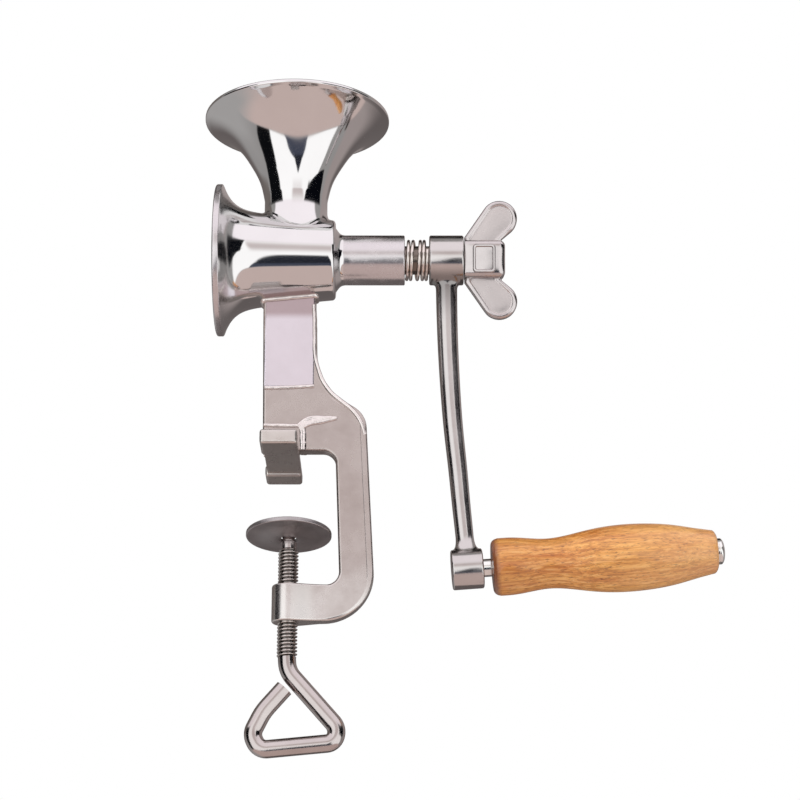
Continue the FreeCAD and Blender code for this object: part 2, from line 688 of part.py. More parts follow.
def crank_section(place, ahead, width, depth):
    """An oval across the arm's centreline."""
    oval = Part.Ellipse(V(0, 0, 0), max(width, depth) / 2, min(width, depth) / 2).toShape()
    shape = Part.Wire(oval)
    shape.Placement = FreeCAD.Placement(place, FreeCAD.Rotation(UP, ahead))
    return shape


def crank_centreline():
    """From the hub's middle to the lower boss, bowed outwards."""
    hub = at_shaft(CRANK_MIDDLE_X, 0)
    places = [hub + V(out * CRANK_OFFSET, 0, -down * CRANK_DROP) for down, out in CRANK_BOW]
    return [hub] + places + [LOWER_BOSS]


def crank_loft():
    """The bowed oval arm, which widens where it runs into the hub and the lower boss."""
    path = smooth(crank_centreline())
    length = path.LastParameter - path.FirstParameter
    sections = []
    for share, swell in CRANK_SWELL:
        place = path.FirstParameter + share * length
        width = CRANK_TOP_WIDTH + share * (CRANK_LOW_WIDTH - CRANK_TOP_WIDTH)
        depth = width * CRANK_DEPTH_SHARE * (1 + (swell - 1) * CRANK_DEPTH_SWELL)
        sections.append(crank_section(path.valueAt(place), path.tangentAt(place), width * swell, depth))
    return Part.makeLoft(sections, True)


def crank_arm():
    """Hub, arm and the lower boss across the grip's axis in one forging."""
    hub = rounded_cylinder(CRANK_HUB_RADIUS, CRANK_HUB_LENGTH, at_shaft(CRANK_HUB_X, 0), ALONG_X, CRANK_EDGE)
    bored_hub = hub.cut(flatted_bore(CRANK_HUB_X - 1, CRANK_HUB_END_X + 1))
    boss_start = on_grip(-LOWER_BOSS_LENGTH / 2, 0)
    boss = rounded_cylinder(LOWER_BOSS_RADIUS, LOWER_BOSS_LENGTH, boss_start, GRIP_AXIS, CRANK_EDGE)
    pin_hole = grip_cylinder(-LOWER_BOSS_LENGTH, LOWER_BOSS_LENGTH, PIN_RADIUS)
    return bored_hub.fuse([crank_loft(), boss]).removeSplitter().cut(pin_hole)


def on_grip(along, radius):
    """A point beside the grip's axis, measured from the lower boss's middle."""
    across = V(-GRIP_AXIS.z, 0, GRIP_AXIS.x)
    return LOWER_BOSS + GRIP_AXIS * along + across * radius


def grip_cylinder(start, stop, radius):
    return Part.makeCylinder(radius, stop - start, on_grip(start, 0), GRIP_AXIS)


def handle_pin():
    """Riveted in the lower boss, with a shoulder that holds the grip off it."""
    start = -LOWER_BOSS_LENGTH / 2
    shoulder = LOWER_BOSS_LENGTH / 2
    pin = grip_cylinder(start, CAP_START, PIN_RADIUS)
    return pin.fuse(grip_cylinder(shoulder, shoulder + PIN_SHOULDER_LENGTH, PIN_RADIUS + PIN_SHOULDER))


def grip():
    """Turned wooden handle with a waist near the crank and a full belly."""
    shape = [on_grip(GRIP_START + share * GRIP_LENGTH, radius) for share, radius in GRIP_SHAPE]
    first, last = GRIP_SHAPE[0][1], GRIP_SHAPE[-1][1]
    start = [on_grip(GRIP_START, first - GRIP_EDGE),
             on_grip(GRIP_START + GRIP_EDGE / 4, first - GRIP_EDGE / 3), shape[0]]
    end = [shape[-1], on_grip(GRIP_END - GRIP_END_EDGE / 6, last - GRIP_END_EDGE / 2.2),
           on_grip(GRIP_END, last - GRIP_END_EDGE)]
    bore = PIN_RADIUS + RUNNING
    mouth, tail = on_grip(GRIP_START, bore), on_grip(GRIP_END, bore)
    face = face_of([mouth, start[0]], start, shape, end, [end[-1], tail], [tail, mouth])
    return turned(face, LOWER_BOSS, GRIP_AXIS)


def grip_end_washer():
    start = GRIP_END + GRIP_END_GAP
    disc = grip_cylinder(start, start + GRIP_END_WASHER, CAP_RADIUS)
    return disc.cut(grip_cylinder(start - 1, start + 2, PIN_RADIUS))


def grip_cap():
    """Domed rivet head on the end of the pin."""
    dome = [on_grip(CAP_START + up * CAP_HEIGHT, out * CAP_RADIUS) for up, out in CAP_DOME]
    centre, edge = on_grip(CAP_START, 0), on_grip(CAP_START, CAP_RADIUS)
    return turned(face_of([centre, edge], [edge, dome[0]], dome, [dome[-1], centre]), LOWER_BOSS, GRIP_AXIS)


def tangent_point(start, centre, radius, side):
    """Where a line from start touches a circle, in (x, z) pairs."""
    dx, dz = centre[0] - start[0], centre[1] - start[1]
    far = math.hypot(dx, dz)
    angle = math.atan2(dz, dx) + side * math.asin(radius / far)
    length = math.sqrt(far * far - radius * radius)
    return start[0] + length * math.cos(angle), start[1] + length * math.sin(angle)


def wing_face(inset):
    """One wing's outline above the shaft axis, drawn in by inset."""
    root = (NUT_SEAT_X + inset * 1.2, NUT_ROOT_HALF - inset * 0.2)
    notch = (NUT_SEAT_X + WING_NOTCH_X - inset * 1.2, WING_NOTCH_OUT)
    centre = (NUT_SEAT_X + WING_LOBE_X, WING_LOBE_OUT)
    radius = WING_LOBE_RADIUS - inset
    left = tangent_point(root, centre, radius, 1)
    right = tangent_point(notch, centre, radius, -1)
    far = math.atan2(left[1] - centre[1], left[0] - centre[0])
    near = math.atan2(right[1] - centre[1], right[0] - centre[0])
    middle = (far + near) / 2
    crown = (centre[0] + radius * math.cos(middle), centre[1] + radius * math.sin(middle))
    low = 0 if inset == 0 else NUT_HUB_HEIGHT / 2
    points = {name: at_shaft(*place) for name, place in
              (("foot", (root[0], low)), ("root", root), ("left", left), ("crown", crown), ("right", right),
               ("notch", notch), ("end", (notch[0], low)))}
    edges = [Part.makeLine(points["foot"], points["root"]), Part.makeLine(points["root"], points["left"]),
             Part.Arc(points["left"], points["crown"], points["right"]).toShape(),
             Part.makeLine(points["right"], points["notch"]), Part.makeLine(points["notch"], points["end"]),
             Part.makeLine(points["end"], points["foot"])]
    return Part.Face(Part.Wire(edges))


def wing():
    """One wing with rounded edges and a shallow panel on each side."""
    half = WING_THICKNESS / 2
    plate = wing_face(0)
    plate.translate(V(0, -half, 0))
    solid = plate.extrude(V(0, WING_THICKNESS, 0))

    def outside(point):
        return abs(abs(point.y) - half) < 0.01 and point.z > SHAFT_HEIGHT + 1

    solid = solid.makeFillet(WING_EDGE, edges_where(solid, outside))
    panel = wing_face(WING_RIM)
    for start in (-half, half - WING_RECESS):
        pocket = panel.copy()
        pocket.translate(V(0, start, 0))
        solid = solid.cut(pocket.extrude(V(0, WING_RECESS, 0)))
    return solid


def badge_block(length, height, low, high):
    """A block over the middle of the nut's hub between two distances from its middle plane."""
    middle = NUT_SEAT_X + NUT_LENGTH / 2
    return box((middle - length / 2, low, SHAFT_HEIGHT - height / 2),
               (middle + length / 2, high, SHAFT_HEIGHT + height / 2))


def badge_frames():
    """The bare raised frame on each flat of the nut's hub."""
    flat = NUT_HUB_FLATS / 2
    frames = []
    for low, high in ((-flat - BADGE_RAISE, -flat), (flat, flat + BADGE_RAISE)):
        outer = badge_block(BADGE_LENGTH, BADGE_HEIGHT, low, high)
        inner = badge_block(BADGE_LENGTH - 2 * BADGE_RIM, BADGE_HEIGHT - 2 * BADGE_RIM, low, high)
        frames.append(outer.cut(inner))
    return frames


def nut_hub():
    """A block with rounded corners along it and a rounded far end."""
    stop = NUT_SEAT_X + NUT_LENGTH
    wide, high = NUT_HUB_FLATS / 2, NUT_HUB_HEIGHT / 2
    hub = box((NUT_SEAT_X, -wide, SHAFT_HEIGHT - high), (stop, wide, SHAFT_HEIGHT + high))

    def corner(point):
        return abs(abs(point.y) - wide) < 0.01 and abs(abs(point.z - SHAFT_HEIGHT) - high) < 0.01

    hub = hub.makeFillet(NUT_HUB_CORNER, edges_where(hub, corner))
    return hub.makeFillet(NUT_END_EDGE, edges_where(hub, lambda point: abs(point.x - stop) < 0.01))


def wing_nut():
    """Block-shaped hub with two wings and a bare raised frame on each side."""
    stop = NUT_SEAT_X + NUT_LENGTH
    hub = nut_hub()
    upper = wing()
    lower = upper.copy()
    lower.rotate(at_shaft(0, 0), ALONG_X, 180)
    body = hub.fuse([upper, lower] + badge_frames())
    bore = shaft_cylinder(NUT_SEAT_X - 1, stop + 1, SHAFT_THREAD_RADIUS + RUNNING)
    nut = body.cut(bore).removeSplitter()
    nut.rotate(at_shaft(0, 0), ALONG_X, NUT_REST_TURN)
    return nut


# --- clamp ---
def frame_outline():
    """Column, shoulder, web and lower arm as one flat outline."""
    return (
        (COLUMN_LEFT_TOP, SHAFT_HEIGHT, 0),
        (COLUMN_RIGHT, SHAFT_HEIGHT, 0),
        SHOULDER_INNER,
        SHOULDER_OUTER,
        HEEL,
        (SCREW_X, LOWER_ARM_BOTTOM, 0),
        (SCREW_X, LOWER_ARM_TOP, 0),
        (THROAT_BOTTOM_X, LOWER_ARM_TOP, THROAT_CORNER),
        (THROAT_TOP_X, JAW_THICKNESS, THROAT_CORNER),
        (COLUMN_LEFT_FOOT, JAW_THICKNESS, 0),
    )


def screw_boss():
    """Upright boss at the end of the lower arm. Its sides run into the arm's flat faces."""
    stop = (SCREW_X + SCREW_BOSS_RUN, FRAME_THICKNESS / 2 - SCREW_BOSS_SINK)
    side = tangent_point(stop, (SCREW_X, 0), SCREW_BOSS_RADIUS, -1)
    front, back = [[V(x, turn * y, LOWER_ARM_BOTTOM) for x, y in (side, stop)] for turn in (-1, 1)]
    crown = V(SCREW_X - SCREW_BOSS_RADIUS, 0, LOWER_ARM_BOTTOM)
    outline = [Part.Arc(front[0], crown, back[0]).toShape(), Part.makeLine(*back),
               Part.makeLine(back[1], front[1]), Part.makeLine(front[1], front[0])]
    solid = Part.Face(Part.Wire(outline)).extrude(V(0, 0, LOWER_ARM_TOP - LOWER_ARM_BOTTOM))

    def rim(point):
        level = min(abs(point.z - LOWER_ARM_TOP), abs(point.z - LOWER_ARM_BOTTOM)) < 0.01
        return level and abs(point.x - stop[0]) > 0.01

    return solid.makeFillet(SCREW_BOSS_EDGE, edges_where(solid, rim))


def clamp_frame(barrel):
    """Flat casting with rounded edges, and an upright boss for the screw at the end of its lower arm."""
    half = FRAME_THICKNESS / 2
    plate = Part.Face(Part.Wire(rounded_edges(frame_outline(), True)))
    plate.translate(V(0, -half, 0))
    solid = plate.extrude(V(0, FRAME_THICKNESS, 0))

    def rim(point):
        on_face = abs(abs(point.y) - half) < 0.01
        return on_face and point.z < SHAFT_HEIGHT - 1 and abs(point.x - SCREW_X) > 0.01

    solid = solid.makeFillet(FRAME_EDGE, edges_where(solid, rim))
    height = LOWER_ARM_TOP - LOWER_ARM_BOTTOM
    hole = Part.makeCylinder(SCREW_THREAD_RADIUS + RUNNING, height, V(SCREW_X, 0, LOWER_ARM_BOTTOM))
    return solid.fuse(screw_boss()).cut(hole).cut(barrel)


def jaw_bar():
    """Cross bar under the column, the clamp's upper jaw."""
    bar = box((-JAW_WIDTH / 2, -JAW_LENGTH / 2, 0), (JAW_WIDTH / 2, JAW_LENGTH / 2, JAW_THICKNESS))

    def end_edge(point):
        return abs(abs(point.y) - JAW_LENGTH / 2) < 0.01

    return bar.makeFillet(JAW_EDGE, edges_where(bar, end_edge))


def turned_on_screw(points):
    """A solid turned about the clamp screw's axis from an outline of (height, radius)."""
    return turned(polygon_face([V(SCREW_X + r, 0, z) for z, r in points]), V(SCREW_X, 0, 0), UP)


def clamp_screw():
    """Riveted tip, neck, collar and thread in one, with the plain lower end bent into an open triangle."""
    top = HEAD_SEAT_Z + SCREW_HEAD_HEIGHT
    minor = SCREW_THREAD_RADIUS - SCREW_THREAD_DEPTH
    ridges = ridged(SCREW_THREAD_RADIUS, minor, SCREW_THREAD_END, SCREW_THREAD_TOP, SCREW_THREAD_PITCH)
    rod_start = SCREW_THREAD_END - SCREW_ROD_LEAD
    rod = [(rod_start, 0), (rod_start, SCREW_ROD_RADIUS), (SCREW_THREAD_END, SCREW_ROD_RADIUS)]
    tip = [(SCREW_THREAD_TOP, SCREW_COLLAR_RADIUS), (COLLAR_TOP_Z, SCREW_COLLAR_RADIUS),
           (COLLAR_TOP_Z, SCREW_NECK_RADIUS), (HEAD_SEAT_Z, SCREW_NECK_RADIUS),
           (HEAD_SEAT_Z, SCREW_HEAD_RADIUS), (top - SCREW_HEAD_EDGE, SCREW_HEAD_RADIUS),
           (top, SCREW_HEAD_RADIUS - 2 * SCREW_HEAD_EDGE), (top, 0)]
    upright = turned_on_screw(rod + ridges + tip)
    path = Part.Wire(rounded_edges(((SCREW_X, rod_start, 0),) + HANDLE_PATH, False))
    section = Part.Wire(Part.makeCircle(SCREW_ROD_RADIUS, V(SCREW_X, 0, rod_start), UP))
    handle = path.makePipeShell([section], True, False)
    return upright.fuse(handle)


def pad_disc():
    """Round pad, dished in the middle for the screw's riveted tip, leaning on it."""
    top, low = PAD_THICKNESS / 2, -PAD_THICKNESS / 2
    dish = [(PAD_FLOOR, PAD_HOLE_RADIUS), (PAD_FLOOR, PAD_DISH_INNER), (top, PAD_DISH_OUTER)]
    rim = [(top, PAD_RADIUS - PAD_EDGE), (top - PAD_EDGE, PAD_RADIUS), (low + PAD_EDGE, PAD_RADIUS),
           (low, PAD_RADIUS - PAD_EDGE)]
    belly = [(low, PAD_DISH_OUTER), (PAD_UNDERSIDE, PAD_DISH_INNER),
             (PAD_UNDERSIDE, PAD_HOLE_RADIUS + PAD_HOLE_EDGE),
             (PAD_UNDERSIDE + PAD_HOLE_EDGE, PAD_HOLE_RADIUS)]
    points = dish + rim + belly
    disc = turned_on_screw([(PAD_MIDDLE_Z + z, r) for z, r in points])
    disc.rotate(V(SCREW_X, 0, PAD_MIDDLE_Z), ALONG_X, -PAD_TILT)
    return disc


def build():
    os.makedirs("parts", exist_ok=True)
    hopper, barrel = hopper_and_barrel()
    pieces = {
        "hopper": hopper,
        "grinding_barrel": barrel,
        "fixed_burr": fixed_burr(),
        "boss_bush": boss_bush(),
        "clamp_frame": clamp_frame(barrel_outside()),
        "jaw_bar": jaw_bar(),
        "grinding_shaft": grinding_shaft(),
        "feed_auger": feed_auger(),
        "cone_burr": cone_burr(),
        "drive_key": key_room(),
        "burr_washer": burr_washer(),
        "burr_bolt": burr_bolt(),
        "compression_spring": compression_spring(),
        "crank_arm": crank_arm(),
        "handle_pin": handle_pin(),
        "grip": grip(),
        "grip_end_washer": grip_end_washer(),
        "grip_cap": grip_cap(),
        "wing_nut": wing_nut(),
        "clamp_screw": clamp_screw(),
        "pad_disc": pad_disc(),
    }
    for name, shape in pieces.items():
        save(name, shape)
        size = shape.BoundBox
        print(f"{name:20s} valid {shape.isValid()} solids {len(shape.Solids)} volume {shape.Volume:9.1f}"
              f"  x {size.XMin:7.2f} {size.XMax:7.2f}  y {size.YMin:6.2f} {size.YMax:6.2f}"
              f"  z {size.ZMin:7.2f} {size.ZMax:7.2f}")


build()
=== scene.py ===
# Hand crank peanut grinder: a clamp-on mill in polished stainless steel with a varnished wooden grip.
# Lengths are millimetres until make_piece and grow turn them to metres. X runs along the shaft towards the
# crank, Z is up, and the origin is the middle of the upper jaw's lower face.
import math

import bmesh
import bpy
import numpy as np
from mathutils import Matrix, Vector


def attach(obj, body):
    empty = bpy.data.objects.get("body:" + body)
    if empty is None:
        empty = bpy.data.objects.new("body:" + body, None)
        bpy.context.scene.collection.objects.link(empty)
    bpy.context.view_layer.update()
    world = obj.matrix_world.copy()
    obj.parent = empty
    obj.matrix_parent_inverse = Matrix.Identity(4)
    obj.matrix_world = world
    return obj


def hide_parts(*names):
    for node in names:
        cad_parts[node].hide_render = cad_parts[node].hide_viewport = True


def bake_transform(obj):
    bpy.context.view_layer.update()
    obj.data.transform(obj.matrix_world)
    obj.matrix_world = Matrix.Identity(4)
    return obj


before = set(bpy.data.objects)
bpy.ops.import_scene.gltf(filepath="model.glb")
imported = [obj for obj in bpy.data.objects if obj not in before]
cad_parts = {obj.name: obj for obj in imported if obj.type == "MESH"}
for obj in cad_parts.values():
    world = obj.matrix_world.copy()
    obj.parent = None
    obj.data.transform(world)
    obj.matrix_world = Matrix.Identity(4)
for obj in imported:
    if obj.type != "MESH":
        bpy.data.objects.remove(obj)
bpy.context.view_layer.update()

# --- Barrel ---
# The mill's body: a tapered stainless casting, turned and buffed to a mirror, with a flared mouth for the
# burrs at one end and the long shaft boss at the other. The hopper is welded over the hole in its top.
MM = 0.001
SHAFT_Z = 78.0
MOUTH_X, MOUTH_RADIUS, LIP_WIDTH, LIP_FACE = -24.7, 27.7, 2.3, 2.0
FLARE_LENGTH, FLARE_REACH, FLARE_CROWDING, FLARE_POINTS = 3.5, 9, 1.7, 26
BARREL_END_X, BARREL_START_RADIUS, BARREL_END_RADIUS = 18.5, 18.5, 14.5
SHOULDER, END_FACE = 1.4, 2.6
BOSS_RADIUS, BOSS_END_X, BOSS_ROOT = 9.1, 43.7, 3.4
BOSS_HOLLOW = ((0.9, 1.5), (2.0, 0.4), (BOSS_ROOT, 0))  # along the boss, out from it
BUSH_RADIUS, CHAMBER_END_X, CHAMBER_RADIUS = 7.0, 15.6, 12.4
SEAT_BACK_X, SEAT_RADIUS = -9.5, 14.0
MOUTH_INSIDE = ((-14.7, 16.0), (-19.25, 20.9), (-22.8, 23.8), (-24.3, 25.75))  # x, radius
HOPPER_X, THROAT_RADIUS, HOLE_LENGTH = 3.8, 9.8, 30
DULL_START_X, DULL_END_X, DULL_BY = -20.5, -14.0, 0.10


def linear(hex_colour):
    """An sRGB hex colour as the linear values that shaders take."""
    channels = [int(hex_colour[i:i + 2], 16) / 255 for i in (1, 3, 5)]
    return [c / 12.92 if c <= 0.04045 else ((c + 0.055) / 1.055) ** 2.4 for c in channels] + [1.0]


def add_node(tree, kind, inputs, output=0, **settings):
    """Adds a node, a shader's unless its kind says otherwise, and gives one of its outputs. An input takes a
    value, or an output that it is linked to."""
    node = tree.nodes.new(kind if "Node" in kind else "ShaderNode" + kind)
    for name, value in settings.items():
        setattr(node, name, value)
    for name, value in inputs.items():
        if isinstance(value, bpy.types.NodeSocket):
            tree.links.new(value, node.inputs[name])
        else:
            node.inputs[name].default_value = value
    return node.outputs[output] if node.outputs else None


def steel(name, colour, dark, roughness, wave, wave_height, grain, grain_height, mottle):
    """Bare metal: slow waves left by hand buffing, fine grain from the belt, and cloudy patches of tone.
    wave, grain and mottle are sizes in mm, and the heights are mm too."""
    material = bpy.data.materials.new(name)
    material.use_nodes = True
    tree = material.node_tree
    shader = tree.nodes["Principled BSDF"].inputs
    shader["Metallic"].default_value = 1.0
    place = add_node(tree, "TexCoord", {}, "Object")
    cloud = add_node(tree, "TexNoise", {
        "Vector": place, "Scale": 1 / (mottle * MM), "Detail": 4.0, "Roughness": 0.6})
    tone = add_node(tree, "Mix", {0: cloud, 6: linear(dark), 7: linear(colour)}, 2, data_type="RGBA")
    shine = add_node(tree, "MapRange", {
        0: cloud, 1: 0.3, 2: 0.7, 3: roughness * 0.8, 4: roughness * 1.25})
    waves = add_node(tree, "TexNoise", {"Vector": place, "Scale": 1 / (wave * MM), "Detail": 1.0})
    waved = add_node(tree, "Bump", {"Height": waves, "Distance": wave_height * MM, "Strength": 1.0})
    fine = add_node(tree, "TexNoise", {
        "Vector": place, "Scale": 1 / (grain * MM), "Detail": 3.0, "Roughness": 0.6})
    grained = add_node(tree, "Bump", {
        "Height": fine, "Distance": grain_height * MM, "Strength": 1.0, "Normal": waved})
    for quality, value in (("Base Color", tone), ("Roughness", shine), ("Normal", grained)):
        tree.links.new(value, shader[quality])
    return material


def places(material):
    """Where a point lies on the object, as X, Y and Z."""
    tree = material.node_tree
    place = add_node(tree, "TexCoord", {}, "Object")
    return add_node(tree, "SeparateXYZ", {0: place}).node.outputs


def lay_over(material, tone, guide, start, end, low, high, blend="MIX", soft=True, quality="Base Color"):
    """Lays a tone over a finish: low of it where the guide is at its start, high of it at its end. Gives how
    far the tone covers."""
    tree = material.node_tree
    target = tree.nodes["Principled BSDF"].inputs[quality]
    under = target.links[0].from_socket if target.links else target.default_value[:]
    cover = add_node(tree, "MapRange", {0: guide, 1: start, 2: end, 3: low, 4: high},
                     interpolation_type="SMOOTHSTEP" if soft else "LINEAR")
    laid = add_node(tree, "Mix", {0: cover, 6: under, 7: linear(tone)}, 2,
                    data_type="RGBA", blend_type=blend)
    tree.links.new(laid, target)
    return cover


def smooth_line(knots, count):
    """Points evenly spread along the natural cubic spline through the knots."""
    knots = np.array(knots, float)
    steps = np.linalg.norm(np.diff(knots, axis=0), axis=1)
    at = np.concatenate(([0], np.cumsum(steps)))
    size = len(knots)
    matrix, right = np.eye(size), np.zeros_like(knots)
    for i in range(1, size - 1):
        before, after = steps[i - 1], steps[i]
        matrix[i, i - 1:i + 2] = before, 2 * (before + after), after
        right[i] = 6 * ((knots[i + 1] - knots[i]) / after - (knots[i] - knots[i - 1]) / before)
    bend = np.linalg.solve(matrix, right)
    spots = np.linspace(0, at[-1], count)
    leg = np.clip(np.searchsorted(at, spots, "right") - 1, 0, size - 2)
    gap, past, left = steps[leg][:, None], (spots - at[leg])[:, None], (at[leg + 1] - spots)[:, None]
    curve = (bend[leg] * left ** 3 + bend[leg + 1] * past ** 3) / (6 * gap)
    curve += (knots[leg] / gap - bend[leg] * gap / 6) * left
    curve += (knots[leg + 1] / gap - bend[leg + 1] * gap / 6) * past
    return [tuple(point) for point in curve]


def rounded(corners, closed=False, step=12.0):
    """A line through corners given as (a, b, radius), each corner an arc with a point every few degrees."""
    points = []
    count = len(corners)
    for i, (a, b, radius) in enumerate(corners):
        corner = Vector((a, b))
        if radius == 0 or (not closed and i in (0, count - 1)):
            points.append((a, b))
            continue
        back = (Vector(corners[i - 1][:2]) - corner).normalized()
        ahead = (Vector(corners[(i + 1) % count][:2]) - corner).normalized()
        half = back.angle(ahead) / 2
        centre = corner + (back + ahead).normalized() * (radius / math.sin(half))
        first = corner + back * (radius / math.tan(half)) - centre
        last = corner + ahead * (radius / math.tan(half)) - centre
        turn = math.atan2(first.x * last.y - first.y * last.x, first.dot(last))
        pieces = max(1, round(abs(math.degrees(turn)) / step))
        for k in range(pieces + 1):
            angle = turn * k / pieces
            points.append((centre.x + first.x * math.cos(angle) - first.y * math.sin(angle),
                           centre.y + first.x * math.sin(angle) + first.y * math.cos(angle)))
    return points


def skin(rings):
    """Points and faces of the surface through rings that have equal numbers of points."""
    width = len(rings[0])
    points = [tuple(point) for ring in rings for point in ring]
    faces = []
    for row in range(0, len(points) - width, width):
        for i in range(width):
            k = (i + 1) % width
            faces.append((row + i, row + k, row + width + k, row + width + i))
    return points, faces


def turned(outline, sides, origin=(0, 0, SHAFT_Z), axis=(1, 0, 0)):
    """Points and faces of a closed form turned about an axis, which is the shaft's if none is given, from
    (along, radius). An outline that starts and ends on the axis is solid, and another is closed to a ring."""
    axis = Vector(axis).normalized()
    across = axis.cross((0, 1, 0)).normalized()
    other = axis.cross(across)
    if outline[0][1] > 0:
        outline = list(outline) + [outline[0]]
    angles = [2 * math.pi * i / sides for i in range(sides)]
    return skin([[Vector(origin) + axis * along + (across * math.cos(a) + other * math.sin(a)) * radius
                  for a in angles] for along, radius in outline])


def tube(start, end, bore, radius, edge=0):
    """Outline of a tube with rounded outer edges, or of a rod where its bore is 0."""
    return rounded([(start, bore, 0), (start, radius, edge), (end, radius, edge), (end, bore, 0)], step=15.0)


def make_piece(name, shells, materials, sharp=35.0):
    """One mesh from closed shells in millimetres: faces turned outwards, smooth except at sharp edges."""
    build = bmesh.new()
    for points, faces in shells:
        verts = [build.verts.new([c * MM for c in point]) for point in points]
        for face in faces:
            if len(set(face)) > 2:
                build.faces.new([verts[i] for i in face])
    bmesh.ops.remove_doubles(build, verts=build.verts, dist=0.001 * MM)
    bmesh.ops.recalc_face_normals(build, faces=build.faces)
    mesh = bpy.data.meshes.new(name)
    build.to_mesh(mesh)
    build.free()
    for material in materials:
        mesh.materials.append(material)
    mesh.shade_smooth()
    mesh.set_sharp_from_angle(angle=math.radians(sharp))
    piece = bpy.data.objects.new(name, mesh)
    bpy.context.scene.collection.objects.link(piece)
    return piece


def settle(piece, sharp=35.0):
    """Turns a piece's modifiers into plain mesh. Without an angle it keeps the shading that they gave."""
    mesh = bpy.data.meshes.new_from_object(piece.evaluated_get(bpy.context.evaluated_depsgraph_get()))
    piece.modifiers.clear()
    piece.data = mesh
    if sharp:
        mesh.shade_smooth()
        mesh.set_sharp_from_angle(angle=math.radians(sharp))


def drill(piece, radius, sides, foot, sharp):
    """Cuts a round hole that runs straight up from its foot."""
    drill_bit = make_piece("drill_bit", [turned(tube(0, HOLE_LENGTH, 0, radius), sides, foot, (0, 0, 1))], [])
    hole = piece.modifiers.new("hole", "BOOLEAN")
    hole.operation, hole.solver, hole.object = "DIFFERENCE", "EXACT", drill_bit
    settle(piece, sharp)
    bpy.data.objects.remove(drill_bit)


def cone_radius(x):
    """The barrel's taper, without its flare."""
    share = (x - MOUTH_X) / (BARREL_END_X - MOUTH_X)
    return BARREL_START_RADIUS + share * (BARREL_END_RADIUS - BARREL_START_RADIUS)


LIP_BACK_X = MOUTH_X + LIP_WIDTH
FLARE_RISE = MOUTH_RADIUS - cone_radius(LIP_BACK_X)


def barrel_radius(x):
    """The barrel's outside at x: its taper and what is left of the flare."""
    return cone_radius(x) + FLARE_RISE * math.exp(-(x - LIP_BACK_X) / FLARE_LENGTH)


flare_x = [LIP_BACK_X + FLARE_LENGTH * (k / FLARE_POINTS) ** FLARE_CROWDING * FLARE_REACH
           for k in range(3, FLARE_POINTS + 1)]
taper_end = BARREL_END_X - SHOULDER - 1
outside = rounded([
    (MOUTH_X, MOUTH_RADIUS - LIP_FACE, 0), (MOUTH_X, MOUTH_RADIUS, 0.7), (LIP_BACK_X, MOUTH_RADIUS, 0.5),
    (LIP_BACK_X + 0.6, barrel_radius(LIP_BACK_X + 0.6), 0)])[1:-1]
outside += [(x, barrel_radius(x)) for x in flare_x if x < taper_end]
outside += rounded([(taper_end, barrel_radius(taper_end), 0), (BARREL_END_X, BARREL_END_RADIUS, SHOULDER),
                    (BARREL_END_X, BARREL_END_RADIUS - END_FACE, 0)])
outside += smooth_line([(BARREL_END_X, BARREL_END_RADIUS - END_FACE)] + [
    (BARREL_END_X + along, BOSS_RADIUS + out) for along, out in BOSS_HOLLOW], 12)[1:]
outside += rounded([(BARREL_END_X + 6, BOSS_RADIUS, 0), (BOSS_END_X, BOSS_RADIUS, 0.5),
                    (BOSS_END_X, BUSH_RADIUS, 0)])
inside = [(CHAMBER_END_X, BUSH_RADIUS), (CHAMBER_END_X, CHAMBER_RADIUS), (SEAT_BACK_X, CHAMBER_RADIUS),
          (SEAT_BACK_X, SEAT_RADIUS), *MOUTH_INSIDE]
# Buffed to a mirror: sharp reflections, drawn about a little by the slow waves of hand buffing.
MIRROR = ("#dddcdc", "#d4d2d2", 0.07, 11.0, 0.014, 0.5, 0.0006, 16.0)
polished_steel = steel("buffed stainless steel", *MIRROR)
# The same mirror with a haze over it at the flare, where a buffing wheel hardly reaches.
barrel_steel = steel("stainless steel, duller at the flare", *MIRROR)
lay_over(barrel_steel, "#ffffff", places(barrel_steel)[0], DULL_START_X * MM, DULL_END_X * MM, DULL_BY, 0.0,
         "ADD", quality="Roughness")
# Left as turned on the lip and the boss: the tool's fine marks blur what it reflects to soft greys.
turned_steel = steel("turned stainless steel", "#d6d2d3", "#c6c2c4", 0.25, 5.0, 0.006, 0.3, 0.002, 4.0)
barrel = make_piece("barrel_body", [turned(outside + inside, 192)], [barrel_steel, turned_steel])
for face in barrel.data.polygons:
    x, y, z = face.center / MM
    on_lip = x < LIP_BACK_X + 0.1 and math.hypot(y, z - SHAFT_Z) > MOUTH_RADIUS - 2.5
    face.material_index = int(on_lip or x > BARREL_END_X + BOSS_ROOT - 0.5)
drill(barrel, THROAT_RADIUS + 0.1, 96, (HOPPER_X, 0, SHAFT_Z), sharp=35.0)
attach(barrel, "frame")
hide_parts("grinding_barrel")

# --- Hopper ---
# A bell spun from stainless sheet and buffed with the barrel. Its rim is turned to an upright band, and its
# neck is welded down on the barrel's skin and dressed to a smooth saddle.
RIM_Z, RIM_RADIUS, BAND, WALL = 134.6, 34.08, 1.5, 1.7
NECK_RADIUS, BELL_DEPTH, HOPPER_SIDES = 11.5, 32.0, 192
BELL = ((0.0, 0.985), (0.075, 0.80), (0.185, 0.60), (0.31, 0.435), (0.50, 0.26), (0.74, 0.09), (1.0, 0.0))
WELD_TOP_Z, WELD_OUT_SIDE, WELD_OUT_FRONT, WELD_SUNK, THROAT_SUNK = 97.0, 3.0, 2.1, 0.5, 0.3
START_PULL, END_PULL = 0.62, 0.75  # how far a hollow root holds the direction of its two ends


def barrel_top(x, y):
    """Height of the barrel's skin over a point."""
    return SHAFT_Z + math.sqrt(max(barrel_radius(min(x, BARREL_END_X - 1)) ** 2 - y * y, 0.0))


